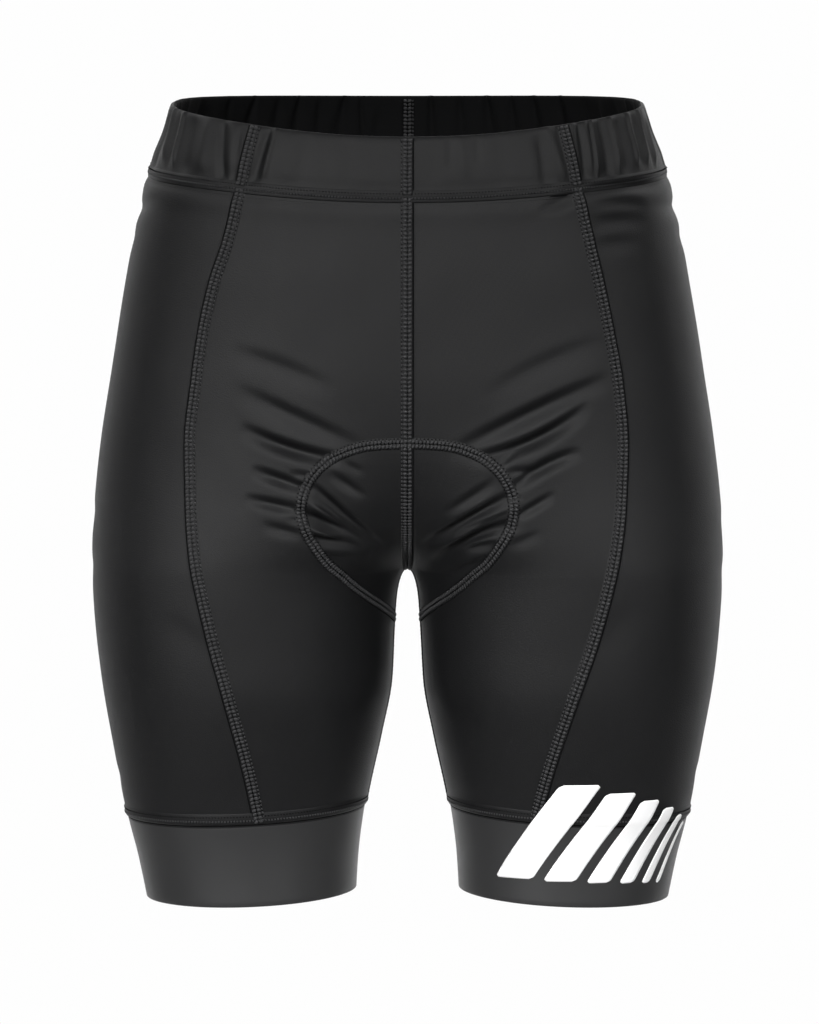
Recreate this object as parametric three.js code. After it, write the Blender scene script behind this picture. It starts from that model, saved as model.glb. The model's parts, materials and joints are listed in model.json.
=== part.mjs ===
import * as THREE from 'three';

// Cycling shorts held open as if worn, with no wearer. Millimetres, +Z up, the front towards -Y and the
// wearer's left towards +X. The origin is the middle of the waist opening.

// Walls and gaps
const CLOTH_WALL = 1.2;
const BAND_WALL = 3;
const BAND_PROUD = 0.5;
const GRIP_WALL = 1.5;
const GRIP_INSET = 0.4;
const SEAM_GAP = 0.3;
const PAD_THICK = 7;
const PAD_EDGE_THICK = 2.2;
const PAD_GAP = 2.7;
const PAD_FORK_GAP = 1;
const PAD_FORK_REACH = 28;

// Waist opening: front and back heights of its edge, and how far it lifts at the hips
const WAIST_FRONT_Z = -7.4;
const WAIST_BACK_Z = 23;
const WAIST_HIP_LIFT = 8.2;
const BAND_HEIGHT = 32.5;
const BAND_HIP_EXTRA = 4;

// Leg ends: seam of the grip band and its hem, both a little higher at the inseam
const GRIP_SEAM_Z = -381;
const GRIP_SEAM_LIFT = 6;
const HEM_Z = -425.5;
const HEM_LIFT = 4.6;

// Cross-sections down the garment. side: half width. inner: the leg's inner face, negative above the fork,
// where the two leg tubes run into each other. front and back: depths from the side line.
const SECTIONS = [
  { z: 26, side: 128.5, inner: -50, front: 89, back: 91 },
  { z: 0, side: 134.6, inner: -54, front: 92, back: 95 },
  { z: -20, side: 141.2, inner: -57, front: 94.5, back: 100 },
  { z: -50, side: 149, inner: -62, front: 97, back: 108 },
  { z: -90, side: 156.6, inner: -68, front: 98.5, back: 116 },
  { z: -130, side: 163, inner: -68, front: 98.5, back: 120 },
  { z: -170, side: 169.4, inner: -62, front: 97, back: 120 },
  { z: -200, side: 173, inner: -42, front: 95.3, back: 116.5 },
  { z: -225, side: 174.6, inner: -15, front: 93.8, back: 110 },
  { z: -243, side: 174.8, inner: 3.2, front: 92.2, back: 103.5 },
  { z: -258, side: 174.2, inner: 6.6, front: 91, back: 98 },
  { z: -280, side: 172.5, inner: 8.1, front: 89, back: 90.5 },
  { z: -305, side: 169.7, inner: 9.3, front: 86.5, back: 84 },
  { z: -335, side: 164.6, inner: 14.8, front: 79.5, back: 75 },
  { z: -380, side: 156, inner: 24.2, front: 67, back: 65 },
  { z: -403, side: 150.2, inner: 27, front: 63, back: 62 },
  { z: -430, side: 144.6, inner: 28.6, front: 60, back: 60 },
];
const TORSO_POWER = 2.5;
const LEG_POWER = 2.08;
const FIELD_SCALE = 80;
const CROTCH_SOFTNESS = 4;
const TORSO_ENDS_Z = -100;
const LEGS_BEGIN_Z = -246;
const FORK_SEARCH = [-262, -225];

// Half width at which the front seams beside the middle panels run, on the wearer's right and left
const FRONT_SEAMS = [
  { z: 0, right: 83.5, left: 86.5 },
  { z: -31, right: 88.6, left: 90.2 },
  { z: -62, right: 95.7, left: 97 },
  { z: -85, right: 103.4, left: 102.5 },
  { z: -112, right: 109.6, left: 108 },
  { z: -138, right: 113.3, left: 112.7 },
  { z: -173, right: 116.9, left: 115.7 },
  { z: -206, right: 116.2, left: 114.4 },
  { z: -230, right: 114.4, left: 111.5 },
  { z: -271, right: 106.1, left: 101.8 },
  { z: -312, right: 95.2, left: 88 },
  { z: -348, right: 86.1, left: 76.5 },
  { z: -382, right: 79.5, left: 68 },
];
const BACK_SEAMS = [
  { z: 23, right: 80, left: 80 },
  { z: -40, right: 90, left: 90 },
  { z: -120, right: 108, left: 108 },
  { z: -190, right: 117, left: 117 },
  { z: -240, right: 113, left: 113 },
  { z: -310, right: 95, left: 95 },
  { z: -382, right: 78, left: 78 },
];

// Drag folds: each runs from (ax, az) to (bx, bz) across the front or back, with a bow at its middle
const FRONT_FOLDS = [
  { ax: -96, az: -117, bx: -40, bz: -137, bow: 2, width: 7, depth: 0.9 },
  { ax: -99, az: -131, bx: -26, bz: -168, bow: -3, width: 6.5, depth: 1.6 },
  { ax: -90, az: -157, bx: -40, bz: -176, bow: 2, width: 6, depth: 2.1 },
  { ax: -92, az: -178, bx: -55, bz: -191, bow: 1, width: 5.5, depth: 1.5 },
  { ax: -94, az: -196, bx: -57, bz: -203, bow: 1, width: 5.5, depth: 1.3 },
  { ax: -80, az: -210, bx: -56, bz: -219, bow: 0, width: 5, depth: 0.9 },
  { ax: 68, az: -124, bx: 102, bz: -113, bow: 1, width: 7, depth: 0.8 },
  { ax: 26, az: -170, bx: 108, bz: -130, bow: 4, width: 6.5, depth: 1.8 },
  { ax: 38, az: -176, bx: 103, bz: -149, bow: 2, width: 6, depth: 2.1 },
  { ax: 54, az: -191, bx: 98, bz: -170, bow: 1, width: 5.5, depth: 1.5 },
  { ax: 57, az: -205, bx: 80, bz: -193, bow: 0, width: 5, depth: 1.1 },
  { ax: 52, az: -223, bx: 74, bz: -212, bow: 0, width: 5, depth: 0.9 },
  { ax: -41, az: -183, bx: -21, bz: -195, bow: 1, width: 4.5, depth: 1 },
  { ax: -51, az: -193, bx: -18, bz: -221, bow: 2, width: 5.5, depth: 2 },
  { ax: -54, az: -207, bx: -27, bz: -223, bow: 1, width: 5, depth: 1.5 },
  { ax: 19, az: -203, bx: 45, bz: -189, bow: -1, width: 4.5, depth: 1 },
  { ax: 16, az: -218, bx: 53, bz: -196, bow: -2, width: 5.5, depth: 2 },
  { ax: 23, az: -222, bx: 55, bz: -211, bow: -1, width: 5, depth: 1.6 },
];
const BACK_FOLDS = [
  { ax: -94, az: -226, bx: -34, bz: -218, bow: -4, width: 7, depth: 2 },
  { ax: -88, az: -243, bx: -44, bz: -236, bow: -3, width: 6, depth: 1.6 },
  { ax: -70, az: -258, bx: -36, bz: -252, bow: -2, width: 5, depth: 1 },
  { ax: -88, az: -206, bx: -50, bz: -196, bow: 2, width: 7, depth: 1 },
  { ax: 36, az: -219, bx: 97, bz: -229, bow: 4, width: 7, depth: 2 },
  { ax: 46, az: -238, bx: 86, bz: -246, bow: 3, width: 6, depth: 1.5 },
  { ax: 38, az: -253, bx: 68, bz: -261, bow: 2, width: 5, depth: 1 },
  { ax: 52, az: -198, bx: 92, bz: -211, bow: -2, width: 7, depth: 1.1 },
  { ax: -30, az: -70, bx: 34, bz: -74, bow: -3, width: 8, depth: 0.8 },
  { ax: -42, az: -88, bx: 28, bz: -90, bow: -2, width: 8, depth: 0.7 },
];

// Gathers of the elasticated casing, on each half from the middle of the front to the middle of the back
const GATHERS_PER_HALF = 28;
const GATHER_DEPTH = 1.3;
const CASING_ROWS = [
  { up: 0, proud: 0.1, gather: 0 },
  { up: 0.2, proud: -0.3, gather: 0.35 },
  { up: 0.5, proud: 0.5, gather: 0.8 },
  { up: 0.86, proud: 0.2, gather: 1 },
  { up: 1, proud: -0.5, gather: 0.9 },
];

// Seat pad: half width of its outline by distance along the rise from the fork, the front negative
const PAD_OUTLINE = [
  { along: -122, half: 4 },
  { along: -118, half: 24 },
  { along: -106, half: 44 },
  { along: -88, half: 55 },
  { along: -68, half: 52 },
  { along: -40, half: 39 },
  { along: 0, half: 30 },
  { along: 40, half: 44 },
  { along: 80, half: 70 },
  { along: 112, half: 76 },
  { along: 138, half: 62 },
  { along: 150, half: 34 },
  { along: 153, half: 5 },
];

// Mesh density
const HIP_ROWS = 6;
const FOLD_ROWS = 21;
const FOLDS_BEGIN = 0.34;
const LEG_ROWS = [0.03, 0.09, 0.18, 0.29, 0.41, 0.53, 0.65, 0.77, 0.89, 1];
const FRONT_COLUMNS = 18;
const SIDE_COLUMNS = 10;
const BACK_COLUMNS = 10;
const GRIP_COLUMNS = 36;
const GRIP_ROWS = [0, 0.12, 0.55, 1];
const PAD_ROWS = 20;
const PAD_COLUMNS = 14;
const LINE_SAMPLES = 240;
const RISE_SAMPLES = 260;
const BISECTIONS = 34;
const REACH = 260;
const PAD_STEP = 1.5;

const CLOTH_COLOUR = 0x1b1c1f;
const GRIP_COLOUR = 0x2b2c30;
const PAD_COLOUR = 0x3a3d44;

const mix = (a, b, t) => a + (b - a) * t;
const clamp01 = (t) => Math.min(1, Math.max(0, t));
const smoothStep = (a, b, x) => {
  const t = clamp01((x - a) / (b - a));
  return t * t * (3 - 2 * t);
};
const minus = (a, b) => [a[0] - b[0], a[1] - b[1], a[2] - b[2]];
const along = (p, d, s) => [p[0] + d[0] * s, p[1] + d[1] * s, p[2] + d[2] * s];
const unit = (a) => {
  const length = Math.hypot(...a);
  return a.map((value) => value / length);
};

// A smooth curve through a table's column, with slopes that never overshoot the rows
function tableCurve(rows, key, column) {
  const sorted = [...rows].sort((a, b) => a[key] - b[key]);
  const xs = sorted.map((row) => row[key]);
  const ys = sorted.map((row) => row[column]);
  const last = xs.length - 1;
  const rises = xs.slice(0, last).map((x, i) => (ys[i + 1] - ys[i]) / (xs[i + 1] - x));
  const slopes = ys.map((_, i) => {
    if (i === 0) return rises[0];
    if (i === last) return rises[last - 1];
    const product = rises[i - 1] * rises[i];
    return product > 0 ? (2 * product) / (rises[i - 1] + rises[i]) : 0;
  });
  return (value) => {
    const x = Math.min(xs[last], Math.max(xs[0], value));
    let i = 0;
    while (i < last - 1 && x > xs[i + 1]) i += 1;
    const span = xs[i + 1] - xs[i];
    const t = (x - xs[i]) / span;
    const lead = ys[i] * (1 + 2 * t) * (1 - t) ** 2 + slopes[i] * span * t * (1 - t) ** 2;
    return lead + ys[i + 1] * t * t * (3 - 2 * t) + slopes[i + 1] * span * t * t * (t - 1);
  };
}

const sideAt = tableCurve(SECTIONS, 'z', 'side');
const innerAt = tableCurve(SECTIONS, 'z', 'inner');
const frontAt = tableCurve(SECTIONS, 'z', 'front');
const backAt = tableCurve(SECTIONS, 'z', 'back');
const frontSeamAt = {
  right: tableCurve(FRONT_SEAMS, 'z', 'right'),
  left: tableCurve(FRONT_SEAMS, 'z', 'left'),
};
const backSeamAt = {
  right: tableCurve(BACK_SEAMS, 'z', 'right'),
  left: tableCurve(BACK_SEAMS, 'z', 'left'),
};
const padHalfAt = tableCurve(PAD_OUTLINE, 'along', 'half');

function section(z) {
  const side = sideAt(z);
  const inner = innerAt(z);
  return {
    side,
    front: frontAt(z),
    back: backAt(z),
    centre: (side + inner) / 2,
    half: (side - inner) / 2,
    legs: smoothStep(TORSO_ENDS_Z, LEGS_BEGIN_Z, z),
  };
}

const oval = (dx, dy, power) => {
  const reach = (Math.abs(dx) ** power + Math.abs(dy) ** power) ** (1 / power);
  return (reach - 1) * FIELD_SCALE;
};

// Zero on the cloth, negative inside: one oval at the hips that turns into two soft-joined ovals, the legs
function field(cut, x, y) {
  const dy = y / (y < 0 ? cut.front : cut.back);
  const torso = oval(x / cut.side, dy, TORSO_POWER);
  const near = oval((x - cut.centre) / cut.half, dy, LEG_POWER);
  const far = oval((x + cut.centre) / cut.half, dy, LEG_POWER);
  const soft = CROTCH_SOFTNESS;
  const legs = -soft * Math.log(Math.exp(-near / soft) + Math.exp(-far / soft));
  return mix(torso, legs, cut.legs);
}

const fieldAt = (p) => field(section(p[2]), p[0], p[1]);

function gradient(p) {
  const step = 0.4;
  return [0, 1, 2].map((axis) => {
    const up = [...p];
    const down = [...p];
    up[axis] += step;
    down[axis] -= step;
    return (fieldAt(up) - fieldAt(down)) / (2 * step);
  });
}

// The place between low and high where a rising function passes zero
function root(rising, low, high) {
  let a = low;
  let b = high;
  for (let i = 0; i < BISECTIONS; i += 1) {
    const m = (a + b) / 2;
    if (rising(m) < 0) a = m;
    else b = m;
  }
  return (a + b) / 2;
}

const FORK_Z = root((z) => -fieldAt([0, 0, z]), ...FORK_SEARCH);

// Depth of the rise at a height: where the middle line of the front or back crosses it
function riseDepth(z, towards) {
  const cut = section(z);
  const depth = towards < 0 ? cut.front : cut.back;
  return root((d) => field(cut, 0, towards * d), 0, depth * 1.1);
}

const topLine = (turn) => {
  const hip = Math.sin(Math.PI * turn) ** 2;
  return mix(WAIST_FRONT_Z, WAIST_BACK_Z, (1 - Math.cos(Math.PI * turn)) / 2) + WAIST_HIP_LIFT * hip;
};
const bandLine = (turn) => topLine(turn) - BAND_HEIGHT - BAND_HIP_EXTRA * Math.sin(Math.PI * turn) ** 2;
const inseamLift = (turn) => ((1 + Math.cos(2 * Math.PI * turn)) / 2) ** 2;
const gripLine = (turn) => GRIP_SEAM_Z + GRIP_SEAM_LIFT * inseamLift(turn);
const hemLine = (turn) => HEM_Z + HEM_LIFT * inseamLift(turn);

// The rise from the casing to the fork, as points with their distance from the casing
function riseLine(towards) {
  const start = bandLine(towards < 0 ? 0 : 1);
  const points = [];
  for (let i = 0; i <= RISE_SAMPLES; i += 1) {
    const fall = 1 - (1 - i / RISE_SAMPLES) ** 2;
    const z = mix(start, FORK_Z, fall);
    const y = i === RISE_SAMPLES ? 0 : towards * riseDepth(z, towards);
    const last = points[points.length - 1];
    const step = last ? Math.hypot(y - last.y, z - last.z) : 0;
    points.push({ y, z, fall, run: (last ? last.run : 0) + step });
  }
  return points;
}

const RISES = { front: riseLine(-1), back: riseLine(1) };

function onRise(points, run, column) {
  let i = 1;
  while (i < points.length - 1 && points[i].run < run) i += 1;
  const a = points[i - 1];
  const b = points[i];
  return mix(a[column], b[column], clamp01((run - a.run) / (b.run - a.run)));
}

const riseLength = (points) => points[points.length - 1].run;
const fallOnRise = (points, v) => onRise(points, v * riseLength(points), 'fall');

// Height of row v at a turn from the front (0) round the outside to the back (1). Rows 0 to 1 lie between
// the casing and the fork, bunched at their ends so that they follow the rise; rows 1 to 2 are the leg.
function rowHeight(v, falls, turn) {
  if (v > 1) return mix(FORK_Z, gripLine(turn), v - 1);
  const frontPull = (1 - smoothStep(0, 0.4, turn)) * (falls.front - v);
  const backPull = smoothStep(0.6, 1, turn) * (falls.back - v);
  return mix(bandLine(turn), FORK_Z, v + frontPull + backPull);
}

// A point of the cloth's outer face at a height and turn, on the half with positive x
function facePoint(z, turn) {
  const cut = section(z);
  const open = z > FORK_Z + 0.001;
  const from = open ? Math.atan2(-riseDepth(z, -1), -cut.centre) : -Math.PI;
  const to = open ? Math.atan2(riseDepth(z, 1), -cut.centre) : Math.PI;
  const angle = mix(from, to, turn);
  const dx = Math.cos(angle);
  const dy = Math.sin(angle);
  const limit = dx < 0 ? Math.min(REACH, cut.centre / -dx) : REACH;
  const r = root((d) => field(cut, cut.centre + dx * d, dy * d), 0, limit);
  return [Math.max(0, cut.centre + dx * r), dy * r, z];
}

// A line round one half of the garment at the heights that a function of the turn gives
function halfLine(heightAt) {
  const points = [];
  const runs = [0];
  for (let i = 0; i <= LINE_SAMPLES; i += 1) {
    const turn = i / LINE_SAMPLES;
    points.push(facePoint(heightAt(turn), turn));
    if (i > 0) runs.push(runs[i - 1] + Math.hypot(...minus(points[i], points[i - 1])));
  }
  const length = runs[LINE_SAMPLES];
  const at = (run) => {
    let i = 1;
    while (i < LINE_SAMPLES && runs[i] < run) i += 1;
    const t = clamp01((run - runs[i - 1]) / (runs[i] - runs[i - 1]));
    return points[i].map((value, axis) => mix(points[i - 1][axis], value, t));
  };
  return { points, runs, length, at };
}

// Distance along a line at which it crosses a seam, sought from its front or its back end
function seamRun(line, seamAt, fromBack) {
  const order = line.points.map((_, i) => (fromBack ? LINE_SAMPLES - i : i));
  const over = (i) => line.points[i][0] - seamAt(line.points[i][2]);
  const k = order.findIndex((i, n) => n > 0 && over(order[n - 1]) < 0 && over(i) >= 0);
  const a = order[k - 1];
  const b = order[k];
  return mix(line.runs[a], line.runs[b], over(a) / (over(a) - over(b)));
}

// How far a fold pushes the cloth in (negative) or lets it stand out beside its trough
function foldRelief(fold, x, z) {
  const span = [fold.bx - fold.ax, fold.bz - fold.az];
  const length = Math.hypot(...span);
  const t = ((x - fold.ax) * span[0] + (z - fold.az) * span[1]) / length ** 2;
  if (t <= -0.15 || t >= 1.15) return 0;
  const across = ((z - fold.az) * span[0] - (x - fold.ax) * span[1]) / length;
  const inside = clamp01((t + 0.15) / 1.3);
  const off = (across - fold.bow * 4 * t * (1 - t)) / fold.width;
  return -fold.depth * Math.sin(Math.PI * inside) ** 1.4 * (1 - 0.8 * off * off) * Math.exp(-off * off);
}

function relief(p) {
  const folds = p[1] < 0 ? FRONT_FOLDS : BACK_FOLDS;
  return folds.reduce((sum, fold) => sum + foldRelief(fold, p[0], p[2]), 0);
}

// A place on one side of the garment: the bare point, its outward normal and the relief there
function place(point, mirror) {
  const normal = unit(gradient(point));
  const p = [mirror * point[0], point[1], point[2]];
  return { p, normal: [mirror * normal[0], normal[1], normal[2]], relief: relief(p) };
}

const lifted = (spot, height) => along(spot.p, spot.normal, spot.relief + height);

// A closed wall from rows of outer and inner points; a ring joins its last column to its first
function wall(outer, inner, ring) {
  const rows = outer.length;
  const columns = outer[0].length;
  const positions = [...outer, ...inner].flat(2);
  const id = (layer, r, c) => (layer * rows + r) * columns + (c % columns);
  const faces = [];
  const quad = (a, b, c, d) => faces.push(a, b, c, a, c, d);
  const spans = ring ? columns : columns - 1;
  for (let c = 0; c < spans; c += 1) {
    for (let r = 0; r < rows - 1; r += 1) {
      quad(id(0, r, c), id(0, r + 1, c), id(0, r + 1, c + 1), id(0, r, c + 1));
      quad(id(1, r, c), id(1, r, c + 1), id(1, r + 1, c + 1), id(1, r + 1, c));
    }
    quad(id(0, 0, c), id(0, 0, c + 1), id(1, 0, c + 1), id(1, 0, c));
    quad(id(0, rows - 1, c), id(1, rows - 1, c), id(1, rows - 1, c + 1), id(0, rows - 1, c + 1));
  }
  for (let r = 0; r < rows - 1 && !ring; r += 1) {
    const end = columns - 1;
    quad(id(0, r, 0), id(1, r, 0), id(1, r + 1, 0), id(0, r + 1, 0));
    quad(id(0, r, end), id(0, r + 1, end), id(1, r + 1, end), id(1, r, end));
  }
  return closedGeometry(positions, faces);
}

// Turns the faces outwards where the points run the other way round
function closedGeometry(positions, faces) {
  const point = (i) => positions.slice(3 * i, 3 * i + 3);
  let volume = 0;
  for (let i = 0; i < faces.length; i += 3) {
    const [a, b, c] = [point(faces[i]), point(faces[i + 1]), point(faces[i + 2])];
    volume += a[0] * (b[1] * c[2] - b[2] * c[1]) + a[1] * (b[2] * c[0] - b[0] * c[2]);
    volume += a[2] * (b[0] * c[1] - b[1] * c[0]);
  }
  const turned = volume < 0 ? [...faces].reverse() : faces;
  const geometry = new THREE.BufferGeometry();
  geometry.setAttribute('position', new THREE.Float32BufferAttribute(positions, 3));
  geometry.setIndex(turned);
  geometry.computeVertexNormals();
  return geometry;
}

function addPiece(group, name, geometry, color, roughness) {
  const mesh = new THREE.Mesh(geometry, new THREE.MeshStandardMaterial({ color, roughness, metalness: 0 }));
  mesh.name = name;
  group.add(mesh);
}

const steps = (count) => Array.from({ length: count + 1 }, (_, i) => i / count);

// Rows of the body panels from the casing (0) past the fork (1) to the grip seam (2), closest at the folds
const ROW_PLACES = [
  ...steps(HIP_ROWS).map((t) => t * FOLDS_BEGIN),
  ...steps(FOLD_ROWS).slice(1).map((t) => mix(FOLDS_BEGIN, 1, t)),
  ...LEG_ROWS.map((q) => 1 + q),
];

// Row lines shared by both sides, with where each seam crosses them
const ROWS = ROW_PLACES.map((v, i, all) => {
  const falls = {
    front: v > 1 ? 0 : fallOnRise(RISES.front, v),
    back: v > 1 ? 0 : fallOnRise(RISES.back, v),
  };
  const trim = (i === 0 ? -SEAM_GAP / 2 : 0) + (i === all.length - 1 ? SEAM_GAP / 2 : 0);
  const line = halfLine((turn) => rowHeight(v, falls, turn) + trim);
  const seams = (side) => [
    0,
    seamRun(line, frontSeamAt[side], false),
    seamRun(line, backSeamAt[side], true),
    line.length,
  ];
  return { line, right: seams('right'), left: seams('left') };
});

// A body panel between two neighbouring seams of one side
function panelGeometry(side, first, columns) {
  const mirror = side === 'left' ? 1 : -1;
  const spots = ROWS.map((row) => {
    const from = row[side][first] + SEAM_GAP / 2;
    const to = row[side][first + 1] - SEAM_GAP / 2;
    return steps(columns).map((u) => place(row.line.at(mix(from, to, u)), mirror));
  });
  const outer = spots.map((row) => row.map((spot) => lifted(spot, 0)));
  const inner = spots.map((row) => row.map((spot) => lifted(spot, -CLOTH_WALL)));
  return wall(outer, inner, false);
}

// Uneven gathers: where each lies round its half, as a share of the half, and how deep it is
function gathersOf(side) {
  const shift = side === 'left' ? 0 : 2.1;
  return Array.from({ length: GATHERS_PER_HALF }, (_, k) => {
    const wander = 0.26 * Math.sin(2.4 * k + shift) + 0.14 * Math.sin(5.3 * k + 1 + shift);
    return {
      share: (k + 0.5 + wander) / GATHERS_PER_HALF,
      depth: GATHER_DEPTH * (0.45 + 0.55 * Math.abs(Math.sin(1.7 * k + 0.6 + shift))),
    };
  });
}

// Columns of the casing on one half: a trough at each gather and a ridge after it
function casingColumns(side) {
  const gathers = gathersOf(side);
  return gathers.flatMap((gather, k) => {
    const next = k + 1 < gathers.length ? gathers[k + 1].share : 1;
    return [
      { share: gather.share, dip: -gather.depth },
      { share: (gather.share + next) / 2, dip: 0 },
    ];
  });
}

function casingRing(level, columns) {
  const line = halfLine((turn) => {
    const low = bandLine(turn) + SEAM_GAP / 2;
    return mix(low, topLine(turn), level.up);
  });
  const half = (side) => columns[side].map((column) => {
    const spot = place(line.at(column.share * line.length), side === 'left' ? 1 : -1);
    const height = BAND_PROUD + level.proud + level.gather * column.dip;
    return { ...spot, relief: 0, height };
  });
  return [...half('left'), ...half('right').reverse()];
}

function casingGeometry() {
  const columns = { left: casingColumns('left'), right: casingColumns('right') };
  const rings = CASING_ROWS.map((level) => casingRing(level, columns));
  const outer = rings.map((ring) => ring.map((spot) => lifted(spot, spot.height)));
  const inner = rings.map((ring) => ring.map((spot) => lifted(spot, spot.height - BAND_WALL)));
  return wall(outer, inner, true);
}

function gripGeometry(side) {
  const mirror = side === 'left' ? 1 : -1;
  const rings = GRIP_ROWS.map((down) => {
    const line = halfLine((turn) => mix(gripLine(turn) - SEAM_GAP / 2, hemLine(turn), down));
    const shares = steps(GRIP_COLUMNS).slice(0, GRIP_COLUMNS);
    return shares.map((share) => ({ ...place(line.at(share * line.length), mirror), relief: 0 }));
  });
  const outer = rings.map((ring) => ring.map((spot) => lifted(spot, -GRIP_INSET)));
  const inner = rings.map((ring) => ring.map((spot) => lifted(spot, -GRIP_INSET - GRIP_WALL)));
  return wall(outer, inner, true);
}

// A point of the middle line by its distance from the fork, the front negative
function risePoint(distance) {
  const points = distance < 0 ? RISES.front : RISES.back;
  const run = riseLength(points) - Math.abs(distance);
  return [0, onRise(points, run, 'y'), onRise(points, run, 'z')];
}

// Walks over the cloth sideways from the middle line, in the plane square to it, one step at a time
function sidewaysWalk(start, length) {
  const out = gradient(start);
  const facing = unit([0, out[1], out[2]]);
  const count = Math.ceil(length / PAD_STEP);
  const points = [start];
  for (let i = 0; i < count; i += 1) {
    const slope = gradient(points[i]);
    const outward = slope[1] * facing[1] + slope[2] * facing[2];
    const size = Math.hypot(slope[0], outward);
    const step = length / count / size;
    let p = along(points[i], facing, -slope[0] * step);
    p = along(p, [1, 0, 0], outward * step);
    for (let k = 0; k < 3; k += 1) {
      const g = gradient(p);
      const gOut = g[1] * facing[1] + g[2] * facing[2];
      const back = -fieldAt(p) / (g[0] ** 2 + gOut ** 2);
      p = along(along(p, facing, gOut * back), [1, 0, 0], g[0] * back);
    }
    points.push(p);
  }
  return (share) => {
    const place01 = clamp01(share) * count;
    const i = Math.min(count - 1, Math.floor(place01));
    return points[i].map((value, axis) => mix(value, points[i + 1][axis], place01 - i));
  };
}

function padGeometry() {
  const ends = [PAD_OUTLINE[0].along, PAD_OUTLINE[PAD_OUTLINE.length - 1].along];
  const outer = [];
  const inner = [];
  steps(PAD_ROWS).forEach((t) => {
    const distance = mix(ends[0], ends[1], (t + (1 - Math.cos(Math.PI * t)) / 2) / 2);
    const walk = sidewaysWalk(risePoint(distance), padHalfAt(distance));
    const nearFork = Math.exp(-((distance / PAD_FORK_REACH) ** 2));
    const depth = CLOTH_WALL + PAD_GAP + PAD_FORK_GAP * nearFork;
    const spots = steps(PAD_COLUMNS).map((s) => {
      const spot = place(walk(Math.abs(2 * s - 1)), s < 0.5 ? -1 : 1);
      return { ...spot, relief: 0 };
    });
    const endThin = Math.min(1, Math.sin(Math.PI * t) * 3);
    outer.push(spots.map((spot) => lifted(spot, -depth)));
    inner.push(spots.map((spot, c) => {
      const edge = 1 - Math.abs((2 * c) / PAD_COLUMNS - 1) ** 4;
      return lifted(spot, -depth - mix(PAD_EDGE_THICK, PAD_THICK, edge * endThin));
    }));
  });
  return wall(outer, inner, false);
}

const group = new THREE.Group();
for (const side of ['left', 'right']) {
  addPiece(group, `front_${side}`, panelGeometry(side, 0, FRONT_COLUMNS), CLOTH_COLOUR, 0.8);
  addPiece(group, `side_${side}`, panelGeometry(side, 1, SIDE_COLUMNS), CLOTH_COLOUR, 0.8);
  addPiece(group, `back_${side}`, panelGeometry(side, 2, BACK_COLUMNS), CLOTH_COLOUR, 0.8);
  addPiece(group, `grip_${side}`, gripGeometry(side), GRIP_COLOUR, 0.7);
}
addPiece(group, 'waistband', casingGeometry(), CLOTH_COLOUR, 0.8);
addPiece(group, 'seat_pad', padGeometry(), PAD_COLOUR, 0.9);

export default group;
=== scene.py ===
"""Dresses the cycling shorts in their cloth, seams, waistband, grip bands, seat pad and print.

Lengths are in millimetres, +Z up, the front towards -Y and the wearer's left towards +X, and go into the
meshes in metres. The cloth is the zero surface of a field: one oval at the hips that turns into two
soft-joined ovals, the legs. Every piece is laid on that surface, with the folds added along its normals.
"""

import sys
import json
import logging
import math
from dataclasses import dataclass, replace
from enum import Enum
from functools import cached_property
from typing import Callable, NamedTuple

import bpy
import numpy as np
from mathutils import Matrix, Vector

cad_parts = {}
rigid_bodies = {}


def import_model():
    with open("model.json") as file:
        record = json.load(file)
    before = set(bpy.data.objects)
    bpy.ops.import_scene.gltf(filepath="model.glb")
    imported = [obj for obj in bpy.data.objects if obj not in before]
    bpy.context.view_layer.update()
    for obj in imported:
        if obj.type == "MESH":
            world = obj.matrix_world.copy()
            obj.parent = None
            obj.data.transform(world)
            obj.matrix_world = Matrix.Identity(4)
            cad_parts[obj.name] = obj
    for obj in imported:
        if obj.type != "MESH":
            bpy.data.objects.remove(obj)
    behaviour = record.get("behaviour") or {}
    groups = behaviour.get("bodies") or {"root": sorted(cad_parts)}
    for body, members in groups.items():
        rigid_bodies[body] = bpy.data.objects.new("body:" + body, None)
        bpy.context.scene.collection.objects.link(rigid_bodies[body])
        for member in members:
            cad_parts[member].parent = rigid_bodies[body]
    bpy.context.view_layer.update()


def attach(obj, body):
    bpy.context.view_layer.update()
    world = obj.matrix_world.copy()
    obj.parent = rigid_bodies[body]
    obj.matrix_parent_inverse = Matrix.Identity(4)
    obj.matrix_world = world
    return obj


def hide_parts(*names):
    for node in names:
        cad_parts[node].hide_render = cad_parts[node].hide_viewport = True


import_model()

Array = np.ndarray
Piece = bpy.types.Object
Material = bpy.types.Material
Socket = bpy.types.NodeSocket
Triple = tuple[float, float, float]
LOG = logging.getLogger("cycling_shorts")
METRES = 0.001
BODY = "root"


def table(columns: str, rows: list[tuple[float, ...]]) -> Array:
    """Puts rows of numbers under named columns.

    Args:
        columns: The columns' names, with spaces between them.
        rows: One tuple for each row.

    Returns:
        A structured array, whose columns are read by name.
    """
    return np.array(rows, dtype=[(name, float) for name in columns.split()])


# Cross-sections down the garment. side: half width. inner: the leg's inner face, negative above the fork.
# front and back: depths from the side line.
SECTIONS = table("z side inner front back", [
    (26, 127.2, -50, 89, 91),
    (0, 133.2, -54, 92, 95),
    (-20, 141.2, -57, 94.5, 100),
    (-50, 149, -62, 97, 108),
    (-90, 156.6, -68, 98.5, 116),
    (-130, 163, -68, 98.5, 120),
    (-170, 169.4, -62, 97, 120),
    (-200, 173, -42, 95.3, 116.5),
    (-225, 174.6, -15, 93.8, 110),
    (-243, 174.8, 3.2, 92.2, 103.5),
    (-258, 174.2, 6.6, 91, 98),
    (-280, 172.5, 8.1, 89, 90.5),
    (-305, 169.7, 9.3, 86.5, 84),
    (-335, 164.6, 14.8, 79.5, 75),
    (-380, 156, 24.2, 67, 65),
    (-403, 150.2, 27, 63, 62),
    (-430, 144.6, 28.6, 60, 60),
])

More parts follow.
